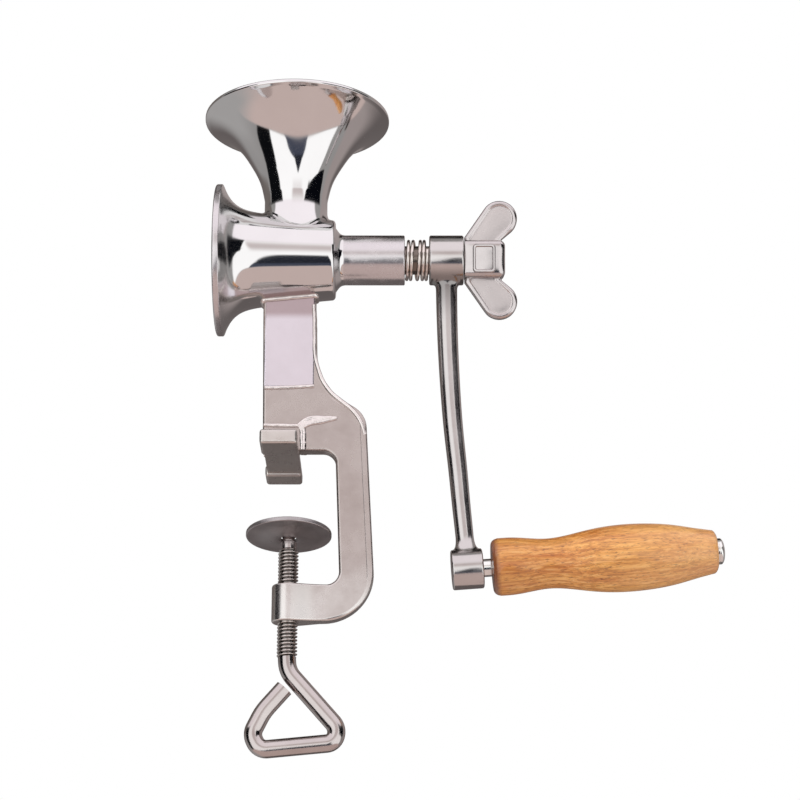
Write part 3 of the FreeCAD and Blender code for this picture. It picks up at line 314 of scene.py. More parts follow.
def bend(start, first, second, end, count):
    """Points along a Bezier curve."""
    return [start * (1 - t) ** 3 + first * (3 * t * (1 - t) ** 2) + second * (3 * t * t * (1 - t))
            + end * t ** 3 for t in (k / count for k in range(count + 1))]


def hollow_root(start, foot, aside, reach, height, count, step=0.05):
    """A hollow curve from a start over the foot, out to one side, down to the skin height(x, y)."""
    def on_skin(distance):
        spot = foot + aside * distance
        return Vector((spot.x, spot.y, height(spot.x, spot.y)))

    low = on_skin(reach)
    slope = (on_skin(reach + step) - low).normalized()
    return bend(start, start + (foot - start) * START_PULL, low - slope * (reach * END_PULL), low, count)


flare = RIM_RADIUS - NECK_RADIUS
bell = smooth_line([(NECK_RADIUS + share * flare, RIM_Z - BAND - depth * BELL_DEPTH)
                    for depth, share in BELL], 48)
bell_inside = []
for k, (radius, height) in enumerate(bell):
    before, after = bell[max(k - 1, 0)], bell[min(k + 1, len(bell) - 1)]
    run, drop = after[0] - before[0], after[1] - before[1]
    size = math.hypot(run, drop)
    bell_inside.append((radius + drop / size * WALL, height - run / size * WALL))
bell_inside = [point for point in bell_inside if point[0] < RIM_RADIUS - WALL - 0.3]
rim = rounded([(*bell_inside[0], 0), (RIM_RADIUS - WALL, RIM_Z - BAND, 0.6), (RIM_RADIUS - WALL, RIM_Z, 0.5),
               (RIM_RADIUS, RIM_Z, 0.6), (RIM_RADIUS, RIM_Z - BAND, 0.35), (*bell[1], 0)], step=15.0)
bell_line = bell_inside[:0:-1] + rim + bell[2:]
columns = []
for k in range(HOPPER_SIDES):
    angle = 2 * math.pi * k / HOPPER_SIDES
    out = Vector((math.cos(angle), math.sin(angle), 0))
    inner, foot = (Vector((HOPPER_X, 0, 0)) + out * radius for radius in (THROAT_RADIUS, NECK_RADIUS))
    inner.z, foot.z = barrel_top(inner.x, inner.y), barrel_top(foot.x, foot.y)
    reach = WELD_OUT_FRONT + (WELD_OUT_SIDE - WELD_OUT_FRONT) * abs(out.x)
    weld = hollow_root(Vector((foot.x, foot.y, WELD_TOP_Z)), foot, out, reach, barrel_top, 14, step=0.1)
    columns.append([inner - Vector((0, 0, THROAT_SUNK))]
                   + [Vector((HOPPER_X + out.x * r, out.y * r, z)) for r, z in bell_line]
                   + weld + [weld[-1] - Vector((0, 0, WELD_SUNK))])
rings = list(zip(*columns))
hopper = make_piece("hopper_bell", [skin(rings + [rings[0]])], [polished_steel])
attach(hopper, "frame")
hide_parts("hopper")

# --- Clamp frame ---
# The flat C-frame: a stainless casting with a satin ground face, and a buffed face let onto each side of its
# column. Its outer edge rounds over widely on the shoulder, and the screw's boss runs into the lower arm.
FRAME_HALF = 2.9
COLUMN_LEFT_X, COLUMN_RIGHT_X, COLUMN_TOP_Z = -7.45, 11.7, 64.0
SCREW_X, SCREW_BOSS_RADIUS, SCREW_HOLE_RADIUS, ARM_TOP, ARM_BOTTOM = 3.0, 5.6, 3.6, -44.2, -57.5
NARROW_EDGE = ((0, 1.1), (0.05, 0.77), (0.19, 0.48), (0.42, 0.24), (0.72, 0.07), (1.1, 0))  # inwards, below
WIDE_EDGE = ((0, 1.2), (0.06, 0.85), (0.22, 0.55), (0.5, 0.36), (2.1, 0.16), (2.4, 0))
EDGE_WIDENS_Z, EDGE_WIDE_Z, EDGE_NARROWS = 36.0, 24.0, 17.5
BOSS_RUN_X, BOSS_RUN_Y, BOSS_RUN_PULL, BOSS_RUN_SINK = 17.0, 2.86, 5, 0.4
BOSS_TURN = math.radians(76.3)
BOSS_EDGES = ((0, 0.8), (0.1, 0.4), (0.24, 0.24), (0.4, 0.1), (0.8, 0))
FACE_LOW_Z, FACE_LEFT_X, FACE_RIGHT_X, FACE_RAISE = 28.1, -6.5, 11.2, 0.2
PAINTED_SHEEN_LOW_Z, PAINTED_SHEEN_HIGH_Z, BARREL_SHADE_LOW_Z, BARREL_SHADE_HIGH_Z = -54, -30, 53.5, 57.0
frame_line = rounded([
    (COLUMN_LEFT_X, COLUMN_TOP_Z, 0), (COLUMN_RIGHT_X, COLUMN_TOP_Z, 0), (COLUMN_RIGHT_X, 29.9, 21.5),
    (29.9, 18.2, 9.5), (33.7, -57.0, 17.5), (SCREW_X, ARM_BOTTOM, 0), (SCREW_X, ARM_TOP, 0),
    (20.9, ARM_TOP, 4.6), (19.1, 4.3, 4.6), (-6.6, 4.3, 0)], closed=True, step=5.0)


def capped(rings):
    """A closed solid through rings of points, with a flat face at each end."""
    points, faces = skin(rings)
    count = len(rings[0])
    return points, faces + [tuple(range(count)), tuple(range(len(points) - count, len(points)))]


def edged_plate(outline, widths):
    """The frame's plate, its outline drawn in along the edge's narrow or wide rounding at each point."""
    ways = []
    for i, here in enumerate(outline):
        legs = [Vector(here) - Vector(outline[i - 1]), Vector(outline[(i + 1) % len(outline)]) - Vector(here)]
        first, second = (Vector((leg.y, -leg.x)).normalized() for leg in legs)
        ways.append((first + second) / (1 + first.dot(second)))
    rings = []
    for side in (-1, 1):
        layers = []
        for narrow, broad in zip(NARROW_EDGE, WIDE_EDGE):
            layer = []
            for (x, z), way, wide in zip(outline, ways, widths):
                inward, below = (a + wide * (b - a) for a, b in zip(narrow, broad))
                layer.append((x + way.x * inward, side * (FRAME_HALF - below), z + way.y * inward))
            layers.append(layer)
        rings += layers[::side]
    return capped(rings)


def boss_ring(inset, z):
    """Outline of the screw boss at a height: half a round, with sides that run into the arm."""
    radius = SCREW_BOSS_RADIUS - inset
    ring = [(SCREW_X + radius * math.cos(a), radius * math.sin(a), z)
            for a in np.linspace(BOSS_TURN, 2 * math.pi - BOSS_TURN, 61)]
    first, last = Vector(ring[0]), Vector((BOSS_RUN_X, BOSS_RUN_Y - inset, z))
    down = Vector((math.sin(BOSS_TURN), -math.cos(BOSS_TURN), 0))
    run = bend(first, first + down * BOSS_RUN_PULL, last - Vector((BOSS_RUN_PULL, 0, 0)), last, 14)[1:]
    sink = BOSS_RUN_SINK if z < (ARM_BOTTOM + ARM_TOP) / 2 else 0
    run = [(p.x, p.y, z + sink * (k / len(run)) ** 2) for k, p in enumerate(run, 1)]
    return run[::-1] + ring + [(x, -y, up) for x, y, up in run]


def even_out(piece):
    """Keeps a piece's flat faces flat in shading beside its rounded edges."""
    piece.modifiers.new("even", "WEIGHTED_NORMAL").keep_sharp = True
    settle(piece, sharp=None)


# Ground on a belt: an even satin with slow waves in it, and a painted sheen that makes it a little lighter
# low down.
satin_steel = steel("satin ground cast steel with painted sheen", "#dfdcda", "#ccc7c4", 0.25, 18.0, 0.03, 0.35, 0.001, 9.0)
lay_over(satin_steel, "#dfd8d6", places(satin_steel)[2], PAINTED_SHEEN_LOW_Z * MM, PAINTED_SHEEN_HIGH_Z * MM, 0.0, 1.0,
         "MULTIPLY")
# Ground flat, then buffed: smoother and cooler, with painted shade, a little brown, near its top under the
# barrel.
column_steel = steel("ground and buffed steel with painted shade", "#e0d9e1", "#d8d1d9", 0.20, 14.0, 0.006, 0.35, 0.001, 12.0)
lay_over(column_steel, "#cfc3c0", places(column_steel)[2], BARREL_SHADE_LOW_Z * MM, BARREL_SHADE_HIGH_Z * MM, 0.0, 1.0,
         "MULTIPLY")
heel = next(i for i, (_, z) in enumerate(frame_line) if z < ARM_BOTTOM + 0.5)
edge_widths = []
for i, (_, z) in enumerate(frame_line):
    share = (EDGE_WIDENS_Z - z) / (EDGE_WIDENS_Z - EDGE_WIDE_Z) if z > 0 else (z - ARM_BOTTOM) / EDGE_NARROWS
    edge_widths.append(max(0.0, min(1.0, share)) if 0 < i < heel else 0.0)
plate = make_piece("frame_plate", [edged_plate(frame_line, edge_widths)], [satin_steel])
boss_rings = [boss_ring(inset, ARM_BOTTOM + up) for up, inset in BOSS_EDGES]
boss_rings += [boss_ring(inset, ARM_TOP - down) for down, inset in reversed(BOSS_EDGES)]
boss = make_piece("screw_boss", [capped(boss_rings)], [satin_steel])
for piece in (plate, boss):
    drill(piece, SCREW_HOLE_RADIUS, 64, (SCREW_X, 0, ARM_BOTTOM - 8), sharp=25.0)
    even_out(piece)
faces = []
for side in (-1, 1):
    rings = []
    for inset, out in ((0, -0.1), (0, FACE_RAISE * 0.25), (0.38, FACE_RAISE)):
        left, right, low = FACE_LEFT_X + inset, FACE_RIGHT_X - inset, FACE_LOW_Z + inset
        rings.append([(x, side * (FRAME_HALF + out), z) for x, z in (
            (left, low + 0.4), (right, low), (right, COLUMN_TOP_Z - 1), (left, COLUMN_TOP_Z - 1))])
    faces.append(capped(rings))
column_faces = make_piece("column_faces", faces, [column_steel], sharp=20.0)
for piece in (plate, boss, column_faces):
    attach(piece, "frame")
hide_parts("clamp_frame")

# --- Jaw ---
# The upper jaw: a cross bar under the column with two broad contact blocks and a thinner middle, in plainer,
# darker cast steel. Beads of weld hold it to the column and the column to the barrel, and low ridges like
# them stand on the frame's faces: at the column's foot, in the fold over the jaw and along the shoulder.
JAW_TOP, JAW_HALF_WIDTH, JAW_HALF_LENGTH = 4.3, 6.5, 25.0
JAW_NEAR_BLOCK, JAW_FAR_BLOCK, JAW_RELIEF = -10.8, 13.4, 0.9
JAW_BLOCK_TOP, JAW_BLOCK_EDGE, JAW_BAR_EDGE = 5.3, 1.1, 0.25
BEAD_START_X, BEAD_STEP, BEAD_RADIUS, TOP_BEAD_RADIUS, TOP_BEAD_CORNER = -6.4, 0.5, 0.8, 1.0, 0.8
BEAD_LUMPS, TOP_BEAD_LUMPS = (0.5, 1.6), (0.4, 2.2)  # height, size
RIDGE_SUNK, RIDGE_FADE, RIDGE_FADE_X = 0.15, 0.25, 26.5
RIDGES = (
    ((-6.3, 27.8), (2.5, 28.0), (11.2, 28.5)),
    ((10.9, 59.5), (11.2, 53.3), (11.3, 45.8), (11.6, 39.2), (12.7, 34.8), (14.8, 29.6), (17.7, 25.7),
     (21.1, 22.8), (24.5, 20.0), (27.0, 16.9), (28.7, 13.5), (29.5, 10.5)),
    ((-6.3, 13.8), (0.0, 13.7), (6.4, 13.5)), ((5.8, 13.4), (8.4, 15.9), (13.0, 16.7), (19.6, 16.3)),
    ((5.9, 13.2), (8.8, 15.5), (13.2, 16.25), (19.3, 16.25)),
    ((6.0, 13.0), (9.2, 15.0), (13.5, 15.8), (19.0, 16.2)),
    ((6.2, 12.6), (9.4, 14.6), (13.7, 15.4), (18.5, 16.1)),
    ((6.4, 12.2), (9.6, 14.1), (14.0, 15.0), (18.0, 16.0)),
    ((7.1, 12.6), (7.2, 8.5), (7.3, 4.6)), ((7.8, 12.4), (8.0, 8.4), (8.0, 4.6)))


def block(low, high):
    """Points and faces of a box."""
    points = [(x, y, z) for x in (low[0], high[0]) for y in (low[1], high[1]) for z in (low[2], high[2])]
    return points, [(0, 1, 3, 2), (4, 6, 7, 5), (0, 4, 5, 1), (2, 3, 7, 6), (0, 2, 6, 4), (1, 5, 7, 3)]


def round_off(piece, width, segments):
    """Bevels a piece's sharp edges."""
    edges = piece.modifiers.new("edges", "BEVEL")
    edges.width, edges.segments = width * MM, segments
    edges.limit_method, edges.angle_limit = "ANGLE", math.radians(30)
    settle(piece)
    even_out(piece)


def start_maker(name, inputs):
    """A Geometry Nodes tree that gives a mesh, and the sockets of its inputs, which are name: kind."""
    tree = bpy.data.node_groups.new(name, "GeometryNodeTree")
    tree.interface.new_socket("Geometry", in_out="OUTPUT", socket_type="NodeSocketGeometry")
    for title, kind in inputs.items():
        tree.interface.new_socket(title, in_out="INPUT", socket_type="NodeSocket" + kind)
    return tree, add_node(tree, "NodeGroupInput", {}).node.outputs


def end_maker(tree, mesh, finish):
    """Ends a maker's tree with real mesh in its finish."""
    whole = add_node(tree, "GeometryNodeRealizeInstances", {"Geometry": mesh})
    done = add_node(tree, "GeometryNodeSetMaterial", {"Geometry": whole, "Material": finish})
    add_node(tree, "NodeGroupOutput", {"Geometry": done})
    return tree


def wire_maker():
    """Geometry nodes: a round wire along a path, with closed ends, and with lumps if it is a bead of weld."""
    tree, given = start_maker("wire along a path", {
        "Path": "Geometry", "Wire radius": "Float", "Sides": "Int", "Lumps": "Float", "Lump size": "Float",
        "Finish": "Material"})
    path = add_node(tree, "GeometryNodeMeshToCurve", {"Mesh": given["Path"]})
    ring = add_node(tree, "GeometryNodeCurvePrimitiveCircle", {
        "Resolution": given["Sides"], "Radius": given["Wire radius"]})
    plain = add_node(tree, "GeometryNodeCurveToMesh", {
        "Curve": path, "Profile Curve": ring, "Fill Caps": True})
    where = add_node(tree, "GeometryNodeInputPosition", {})
    scale = add_node(tree, "Math", {0: 1.0, 1: given["Lump size"]}, operation="DIVIDE")
    noise = add_node(tree, "TexNoise", {"Vector": where, "Scale": scale})
    swell = add_node(tree, "Math", {0: noise, 1: 0.5}, operation="SUBTRACT")
    swell = add_node(tree, "Math", {0: swell, 1: given["Lumps"]}, operation="MULTIPLY")
    normal = add_node(tree, "GeometryNodeInputNormal", {})
    push = add_node(tree, "VectorMath", {0: normal, "Scale": swell}, operation="SCALE")
    lumpy = add_node(tree, "GeometryNodeSetPosition", {"Geometry": plain, "Offset": push})
    return end_maker(tree, lumpy, given["Finish"])


def grow(name, tree, values, paths=(), sharp=35.0):
    """A plain mesh that a node tree makes from its named inputs, around paths of points. A value that isn't a
    whole number is a length, in millimetres as the points are."""
    mesh = bpy.data.meshes.new(name)
    points, edges = [], []
    for path in paths:
        edges += [(k - 1, k) for k in range(len(points) + 1, len(points) + len(path))]
        points += [[c * MM for c in point] for point in path]
    mesh.from_pydata(points, edges, [])
    piece = bpy.data.objects.new(name, mesh)
    bpy.context.scene.collection.objects.link(piece)
    maker = piece.modifiers.new("maker", "NODES")
    maker.node_group = tree
    for socket in tree.interface.items_tree:
        if socket.in_out == "INPUT" and socket.name in values:
            value = values[socket.name]
            maker[socket.identifier] = value * MM if isinstance(value, float) else value
    settle(piece, sharp)
    return piece


wire = wire_maker()
# Plain cast steel: greyer and rougher than the ground faces, over the slow waves of the mould.
jaw_steel = steel("plain cast steel", "#d6d0cc", "#c3bdb8", 0.30, 14.0, 0.04, 0.3, 0.005, 5.0)
# Weld metal: pale and glinting, with a fine uneven skin.
weld_steel = steel("weld bead", "#ece6e4", "#d6cecb", 0.22, 2.0, 0.05, 0.4, 0.01, 2.0)
jaw = make_piece("jaw_blocks", [
    block((-JAW_HALF_WIDTH, -JAW_HALF_LENGTH, 0), (JAW_HALF_WIDTH, JAW_NEAR_BLOCK, JAW_BLOCK_TOP)),
    block((-JAW_HALF_WIDTH, JAW_FAR_BLOCK, 0), (JAW_HALF_WIDTH, JAW_HALF_LENGTH, JAW_TOP))], [jaw_steel])
round_off(jaw, JAW_BLOCK_EDGE, segments=4)
jaw_middle = make_piece("jaw_middle", [
    block((-JAW_HALF_WIDTH + JAW_RELIEF, JAW_NEAR_BLOCK - 2, JAW_RELIEF),
          (JAW_HALF_WIDTH - 0.1, JAW_FAR_BLOCK + 2, JAW_TOP - 0.05))], [jaw_steel])
round_off(jaw_middle, JAW_BAR_EDGE, segments=2)
beads = [[(BEAD_START_X + BEAD_STEP * k, side * (FRAME_HALF + 0.3), JAW_TOP + 0.4) for k in range(26)]
         for side in (-1, 1)]
beads += [[(x, side * (FRAME_HALF - RIDGE_SUNK - RIDGE_FADE * max(0, x - RIDGE_FADE_X)), z)
           for x, z in smooth_line(ridge, 30)] for ridge in RIDGES for side in (-1, 1)]
jaw_weld = grow("jaw_weld", wire, {
    "Wire radius": BEAD_RADIUS, "Sides": 20, "Lumps": BEAD_LUMPS[0], "Lump size": BEAD_LUMPS[1],
    "Finish": weld_steel}, beads, sharp=80.0)
around = rounded([(x, y, TOP_BEAD_CORNER) for x, y in (
    (COLUMN_LEFT_X - 0.05, -FRAME_HALF), (COLUMN_RIGHT_X, -FRAME_HALF), (COLUMN_RIGHT_X, FRAME_HALF),
    (COLUMN_LEFT_X - 0.05, FRAME_HALF))], closed=True)
around = [Vector(a).lerp(Vector(b), k / 20)
          for a, b in zip(around, around[1:] + around[:1]) for k in range(20)]
top_bead = [(p.x, p.y, 2 * SHAFT_Z - barrel_top(p.x, p.y)) for p in around]
top_weld = grow("top_weld", wire, {
    "Wire radius": TOP_BEAD_RADIUS, "Sides": 20, "Lumps": TOP_BEAD_LUMPS[0], "Lump size": TOP_BEAD_LUMPS[1],
    "Finish": weld_steel}, [top_bead + top_bead[:2]], sharp=80.0)
for piece in (jaw, jaw_middle, jaw_weld, top_weld):
    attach(piece, "frame")
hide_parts("jaw_bar")

# --- Burrs and auger ---
# Inside the barrel: the toothed steel cone and ring that crush the nuts, the auger that feeds them, and the
# bronze bush, key, washer and bolt. Machined and left as cut, so duller than the outside.
# Cut steel: grey and dull, with short tool marks.
burr_steel = steel("cut burr steel", "#b4b0aa", "#98948e", 0.30, 6.0, 0.01, 0.25, 0.004, 4.0)
# Sintered bronze: brown and nearly matt, from the pores that hold its oil.
bush_bronze = steel("sintered bronze", "#c08a52", "#a5733f", 0.38, 6.0, 0.005, 0.2, 0.004, 2.0)
# Bright turned steel: almost white, with narrow, clear highlights.
bright_steel = steel("bright turned steel", "#eeeeec", "#e0e0dd", 0.14, 5.0, 0.004, 0.3, 0.001, 5.0)
for material, nodes in ((burr_steel, ("fixed_burr", "cone_burr", "feed_auger")),
                        (bright_steel, ("drive_key", "burr_washer", "burr_bolt")),
                        (bush_bronze, ("boss_bush",))):
    for place in (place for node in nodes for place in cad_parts[node].material_slots):
        place.material = material

# --- Shaft ---
# The steel shaft that carries cone and auger. It is round in the bush, has two flats under the crank's hub,
# and ends in a cut thread for the wing nut.
SHAFT_RADIUS, SHAFT_START_X, FLATS_START_X, SHAFT_END_X, SHAFT_HALF_FLATS = 5.2, -18.8, 49.6, 77.6, 4.0
SHAFT_THREAD_X, SHAFT_THREAD_RADIUS, SHAFT_PITCH, SHAFT_THREAD_DEPTH = 62.8, 4.97, 1.5, 0.85


def thread_maker():
    """Geometry nodes: a rod along Z with a right-hand thread, its ends closed."""
    tree, given = start_maker("threaded rod", {
        "Crest radius": "Float", "Depth": "Float", "Pitch": "Float", "Length": "Float", "Sides": "Int",
        "Rows": "Int", "Finish": "Material"})
    grid = add_node(tree, "GeometryNodeMeshGrid", {
        "Size X": 1.0, "Size Y": 1.0, "Vertices X": given["Sides"], "Vertices Y": given["Rows"]})
    where = add_node(tree, "GeometryNodeInputPosition", {})
    made = dict(given.items())
    made["grid x"], made["grid y"], _ = add_node(tree, "SeparateXYZ", {0: where}).node.outputs
    for name, kind, how, *values in (
            ("round", "Math", "ADD", "grid x", 0.5), ("angle", "Math", "MULTIPLY", "round", 2 * math.pi),
            ("share", "Math", "ADD", "grid y", 0.5), ("up", "Math", "MULTIPLY", "share", "Length"),
            ("threads", "Math", "DIVIDE", "up", "Pitch"), ("turns", "Math", "SUBTRACT", "threads", "round"),
            ("down", "Math", "SUBTRACT", "Length", "up"), ("to end", "Math", "MINIMUM", "up", "down"),
            ("deepest", "MapRange", "LINEAR", "to end", 0.0, "Pitch", 0.0, "Depth"),
            ("off root", "Math", "PINGPONG", "turns", 0.5),
            ("ridge", "MapRange", "SMOOTHSTEP", "off root", 0.06, 0.42, 0.0, "deepest"),
            ("root", "Math", "SUBTRACT", "Crest radius", "Depth"), ("radius", "Math", "ADD", "root", "ridge"),
            ("open", "Math", "GREATER_THAN", "to end", 1e-7), ("out", "Math", "MULTIPLY", "radius", "open"),
            ("cosine", "Math", "COSINE", "angle"), ("x", "Math", "MULTIPLY", "out", "cosine"),
            ("sine", "Math", "SINE", "angle"), ("y", "Math", "MULTIPLY", "out", "sine")):
        setting = "operation" if kind == "Math" else "interpolation_type"
        made[name] = add_node(tree, kind, {i: made.get(value, value) for i, value in enumerate(values)},
                              **{setting: how})
    spot = add_node(tree, "CombineXYZ", {0: made["x"], 1: made["y"], 2: made["up"]})
    rod = add_node(tree, "GeometryNodeSetPosition", {"Geometry": grid, "Position": spot})
    closed = add_node(tree, "GeometryNodeMergeByDistance", {"Geometry": rod, "Distance": 1e-6})
    return end_maker(tree, closed, given["Finish"])


thread = thread_maker()
# Turned shaft steel, painted dark to give the shade inside the spring, with one thin gleam along it.
shaft_steel_with_painted_shade = steel("turned shaft steel, painted dark", "#7d736c", "#6d645e", 0.2, 6.0, 0.006, 0.3, 0.003, 5.0)
shaft, flatted = (
    make_piece(name, [turned(tube(start, end, 0, SHAFT_RADIUS), 96)], [shaft_steel_with_painted_shade])
    for name, start, end in (("shaft_rod", SHAFT_START_X, FLATS_START_X),
                             ("shaft_flats", FLATS_START_X - 0.2, SHAFT_THREAD_X)))
shaft_end = grow("shaft_thread", thread, {
    "Crest radius": SHAFT_THREAD_RADIUS, "Depth": SHAFT_THREAD_DEPTH, "Pitch": SHAFT_PITCH,
    "Length": SHAFT_END_X - SHAFT_THREAD_X, "Sides": 73, "Rows": 150, "Finish": shaft_steel_with_painted_shade})
shaft_end.data.transform(Matrix.Translation((SHAFT_THREAD_X * MM, 0, SHAFT_Z * MM))
                         @ Matrix.Rotation(math.pi / 2, 4, "Y"))
for piece in (flatted, shaft_end):
    for vertex in piece.data.vertices:
        vertex.co.y = max(-SHAFT_HALF_FLATS * MM, min(SHAFT_HALF_FLATS * MM, vertex.co.y))
    piece.data.update()
    piece.data.set_sharp_from_angle(angle=math.radians(35))
for piece in (shaft, flatted, shaft_end):
    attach(piece, "rotor")
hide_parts("grinding_shaft")

# --- Spring ---
# Round spring wire wound about the shaft, close at both ends and open between. It is pressed between the
# boss and the crank's hub.
SPRING_WIRE, SPRING_RADIUS = 1.2, 6.95
SPRING_KNOTS = ((0.40, 44.35), (1.75, 46.24), (2.75, 49.11), (4.78, 51.95))  # turns from the top, x
SPRING_STEPS, SPRING_SMOOTHING = 180, 13
knot_turns, knot_x = zip(*SPRING_KNOTS)
spring_turns = np.linspace(knot_turns[0], knot_turns[-1], SPRING_STEPS)
spring_x = np.pad(np.interp(spring_turns, knot_turns, knot_x), SPRING_SMOOTHING // 2, "reflect",
                  reflect_type="odd")
spring_x = np.convolve(spring_x, np.full(SPRING_SMOOTHING, 1 / SPRING_SMOOTHING), "valid")
coil = [(x, SPRING_RADIUS * math.sin(2 * math.pi * t), SHAFT_Z + SPRING_RADIUS * math.cos(2 * math.pi * t))
        for x, t in zip(spring_x, spring_turns)]
# Drawn wire: smooth and bright, with a clear line of light along each coil.
spring_steel = steel("spring wire", "#e4dcd7", "#cfc6c0", 0.10, 4.0, 0.004, 0.3, 0.001, 3.0)
spring = grow("spring_coil", wire, {
    "Wire radius": SPRING_WIRE / 2, "Sides": 20, "Finish": spring_steel}, [coil])
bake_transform(spring)
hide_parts("compression_spring")

# --- Crank ---
# A stainless forging, buffed all over: the round hub on the shaft's flats, a bowed oval arm, and the lower
# boss that lies across the grip's axis. The arm runs into both with hollow, hand-dressed roots.
HUB_START_X, HUB_END_X, HUB_RADIUS, HUB_EDGE, HUB_BORE = 52.6, 65.1, 9.1, 0.7, 5.3
CRANK_DROP, CRANK_OFFSET = 116.2, 6.6
CRANK_BOW = ((0.097, 0.0), (0.29, 0.06), (0.43, 0.17), (0.557, 0.32), (0.695, 0.55), (0.80, 0.705),
             (0.895, 0.86))  # down, out
ARM_TOP_WIDTH, ARM_FOOT_WIDTH, ARM_DEPTH_SHARE = 7.9, 6.2, 0.82
ARM_START, ARM_END, ARM_SIDES, ARM_ROWS, ARM_STEPS = 0.092, 0.905, 72, 90, 400
HUB_ROOT_UP, HUB_ROOT_OUT, BOSS_ROOT_UP, BOSS_ROOT_OUT, ROOT_SUNK = 2.6, 2.2, 5.2, 2.1, 0.4
LOWER_BOSS, LOWER_BOSS_RADIUS, LOWER_BOSS_HALF, PIN_HOLE = Vector((65.45, 0, -38.2)), 7.0, 5.5, 2.75
GRIP_TILT = math.radians(4.2)
GRIP_AXIS = Vector((math.cos(GRIP_TILT), 0, math.sin(GRIP_TILT)))
SHADE_LOW_Z, SHADE_HIGH_Z, HUB_LOW_Z, HUB_HIGH_Z = 50, 70, 69.5, 73
FOOT_SHADE, NECK_SHADE, HUB_SHADE = 0.08, 0.58, 0.05


def root_rings(ring, way, place, radius, up, reach, count):
    """Rings that lead a piece's last ring down onto a round bar along the frame place's Y. way is the piece's
    own direction there, and up and reach are how far the hollow root goes."""
    def height(x, y):
        return math.sqrt(radius ** 2 - y * y)

    back = place.inverted()
    local = [back @ point for point in ring]
    way = back.to_3x3() @ way
    centre = sum(local, Vector()) / len(local)
    columns = []
    for i, point in enumerate(local):
        foot = point
        for _ in range(3):
            foot = foot - way * ((foot.z - height(foot.x, foot.y)) / way.z)
        along = local[(i + 1) % len(local)] - local[i - 1]
        aside = Vector((along.y, -along.x, 0)).normalized()
        if aside.dot(point - centre) < 0:
            aside = -aside
        curve = hollow_root(foot - way * up, foot, aside, reach, height, count)
        columns.append([place @ spot for spot in curve + [curve[-1] - Vector((0, 0, ROOT_SUNK))]])
    return list(zip(*columns))


hub_middle = Vector(((HUB_START_X + HUB_END_X) / 2, 0, SHAFT_Z))
arm_line = [hub_middle] + [hub_middle + Vector((out * CRANK_OFFSET, 0, -down * CRANK_DROP))
                           for down, out in CRANK_BOW] + [LOWER_BOSS]
arm_line = [Vector(point) for point in smooth_line(arm_line, ARM_STEPS + 1)]
arm_rings, arm_ways = [], []
for row in range(ARM_ROWS):
    share = ARM_START + (ARM_END - ARM_START) * row / (ARM_ROWS - 1)
    spot = round(share * ARM_STEPS)
    way = (arm_line[spot + 1] - arm_line[spot - 1]).normalized()
    half = (ARM_TOP_WIDTH + share * (ARM_FOOT_WIDTH - ARM_TOP_WIDTH)) / 2
    side, deep = way.cross((0, 1, 0)).normalized() * half, Vector((0, half * ARM_DEPTH_SHARE, 0))
    arm_ways.append(way)
    arm_rings.append([arm_line[spot] + side * math.cos(a) + deep * math.sin(a)
                      for a in (2 * math.pi * i / ARM_SIDES for i in range(ARM_SIDES))])
upside_down = Matrix.Translation(hub_middle) @ Matrix.Rotation(math.pi, 4, "Y")
on_boss = Matrix.Translation(LOWER_BOSS) @ Matrix.Rotation(-GRIP_TILT, 4, "Y")
top_root = root_rings(arm_rings[0], -arm_ways[0], upside_down, HUB_RADIUS, HUB_ROOT_UP, HUB_ROOT_OUT, 12)
low_root = root_rings(arm_rings[-1], arm_ways[-1], on_boss, LOWER_BOSS_RADIUS, BOSS_ROOT_UP, BOSS_ROOT_OUT,
                      14)
arm_rings = [ring for ring in arm_rings
             if min(p.z for p in low_root[0]) < ring[0].z < max(p.z for p in top_root[0])]
arm_shell = capped(top_root[::-1] + arm_rings[1:-1] + low_root)
hub_line = tube(HUB_START_X, HUB_END_X, HUB_BORE, HUB_RADIUS, HUB_EDGE)
boss_line = tube(-LOWER_BOSS_HALF, LOWER_BOSS_HALF, PIN_HOLE, LOWER_BOSS_RADIUS, HUB_EDGE)
# Buffed forging: soft-edged reflections over long waves, with painted shade, darkest on the neck under the
# hub.
crank_steel = steel("buffed forged steel with painted shade", "#d3cfce", "#c4bfbd", 0.17, 9.0, 0.02, 0.4, 0.0015, 10.0)
up = places(crank_steel)[2]
neck_shade = add_node(crank_steel.node_tree, "MapRange", {
    0: up, 1: HUB_LOW_Z * MM, 2: HUB_HIGH_Z * MM, 3: NECK_SHADE, 4: HUB_SHADE},
    interpolation_type="SMOOTHSTEP")
lay_over(crank_steel, "#1c1816", up, SHADE_LOW_Z * MM, SHADE_HIGH_Z * MM, FOOT_SHADE, neck_shade)
crank = make_piece("crank_forging", [
    arm_shell, turned(hub_line, 128), turned(boss_line, 112, LOWER_BOSS, GRIP_AXIS)], [crank_steel])
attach(crank, "crank")
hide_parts("crank_arm")

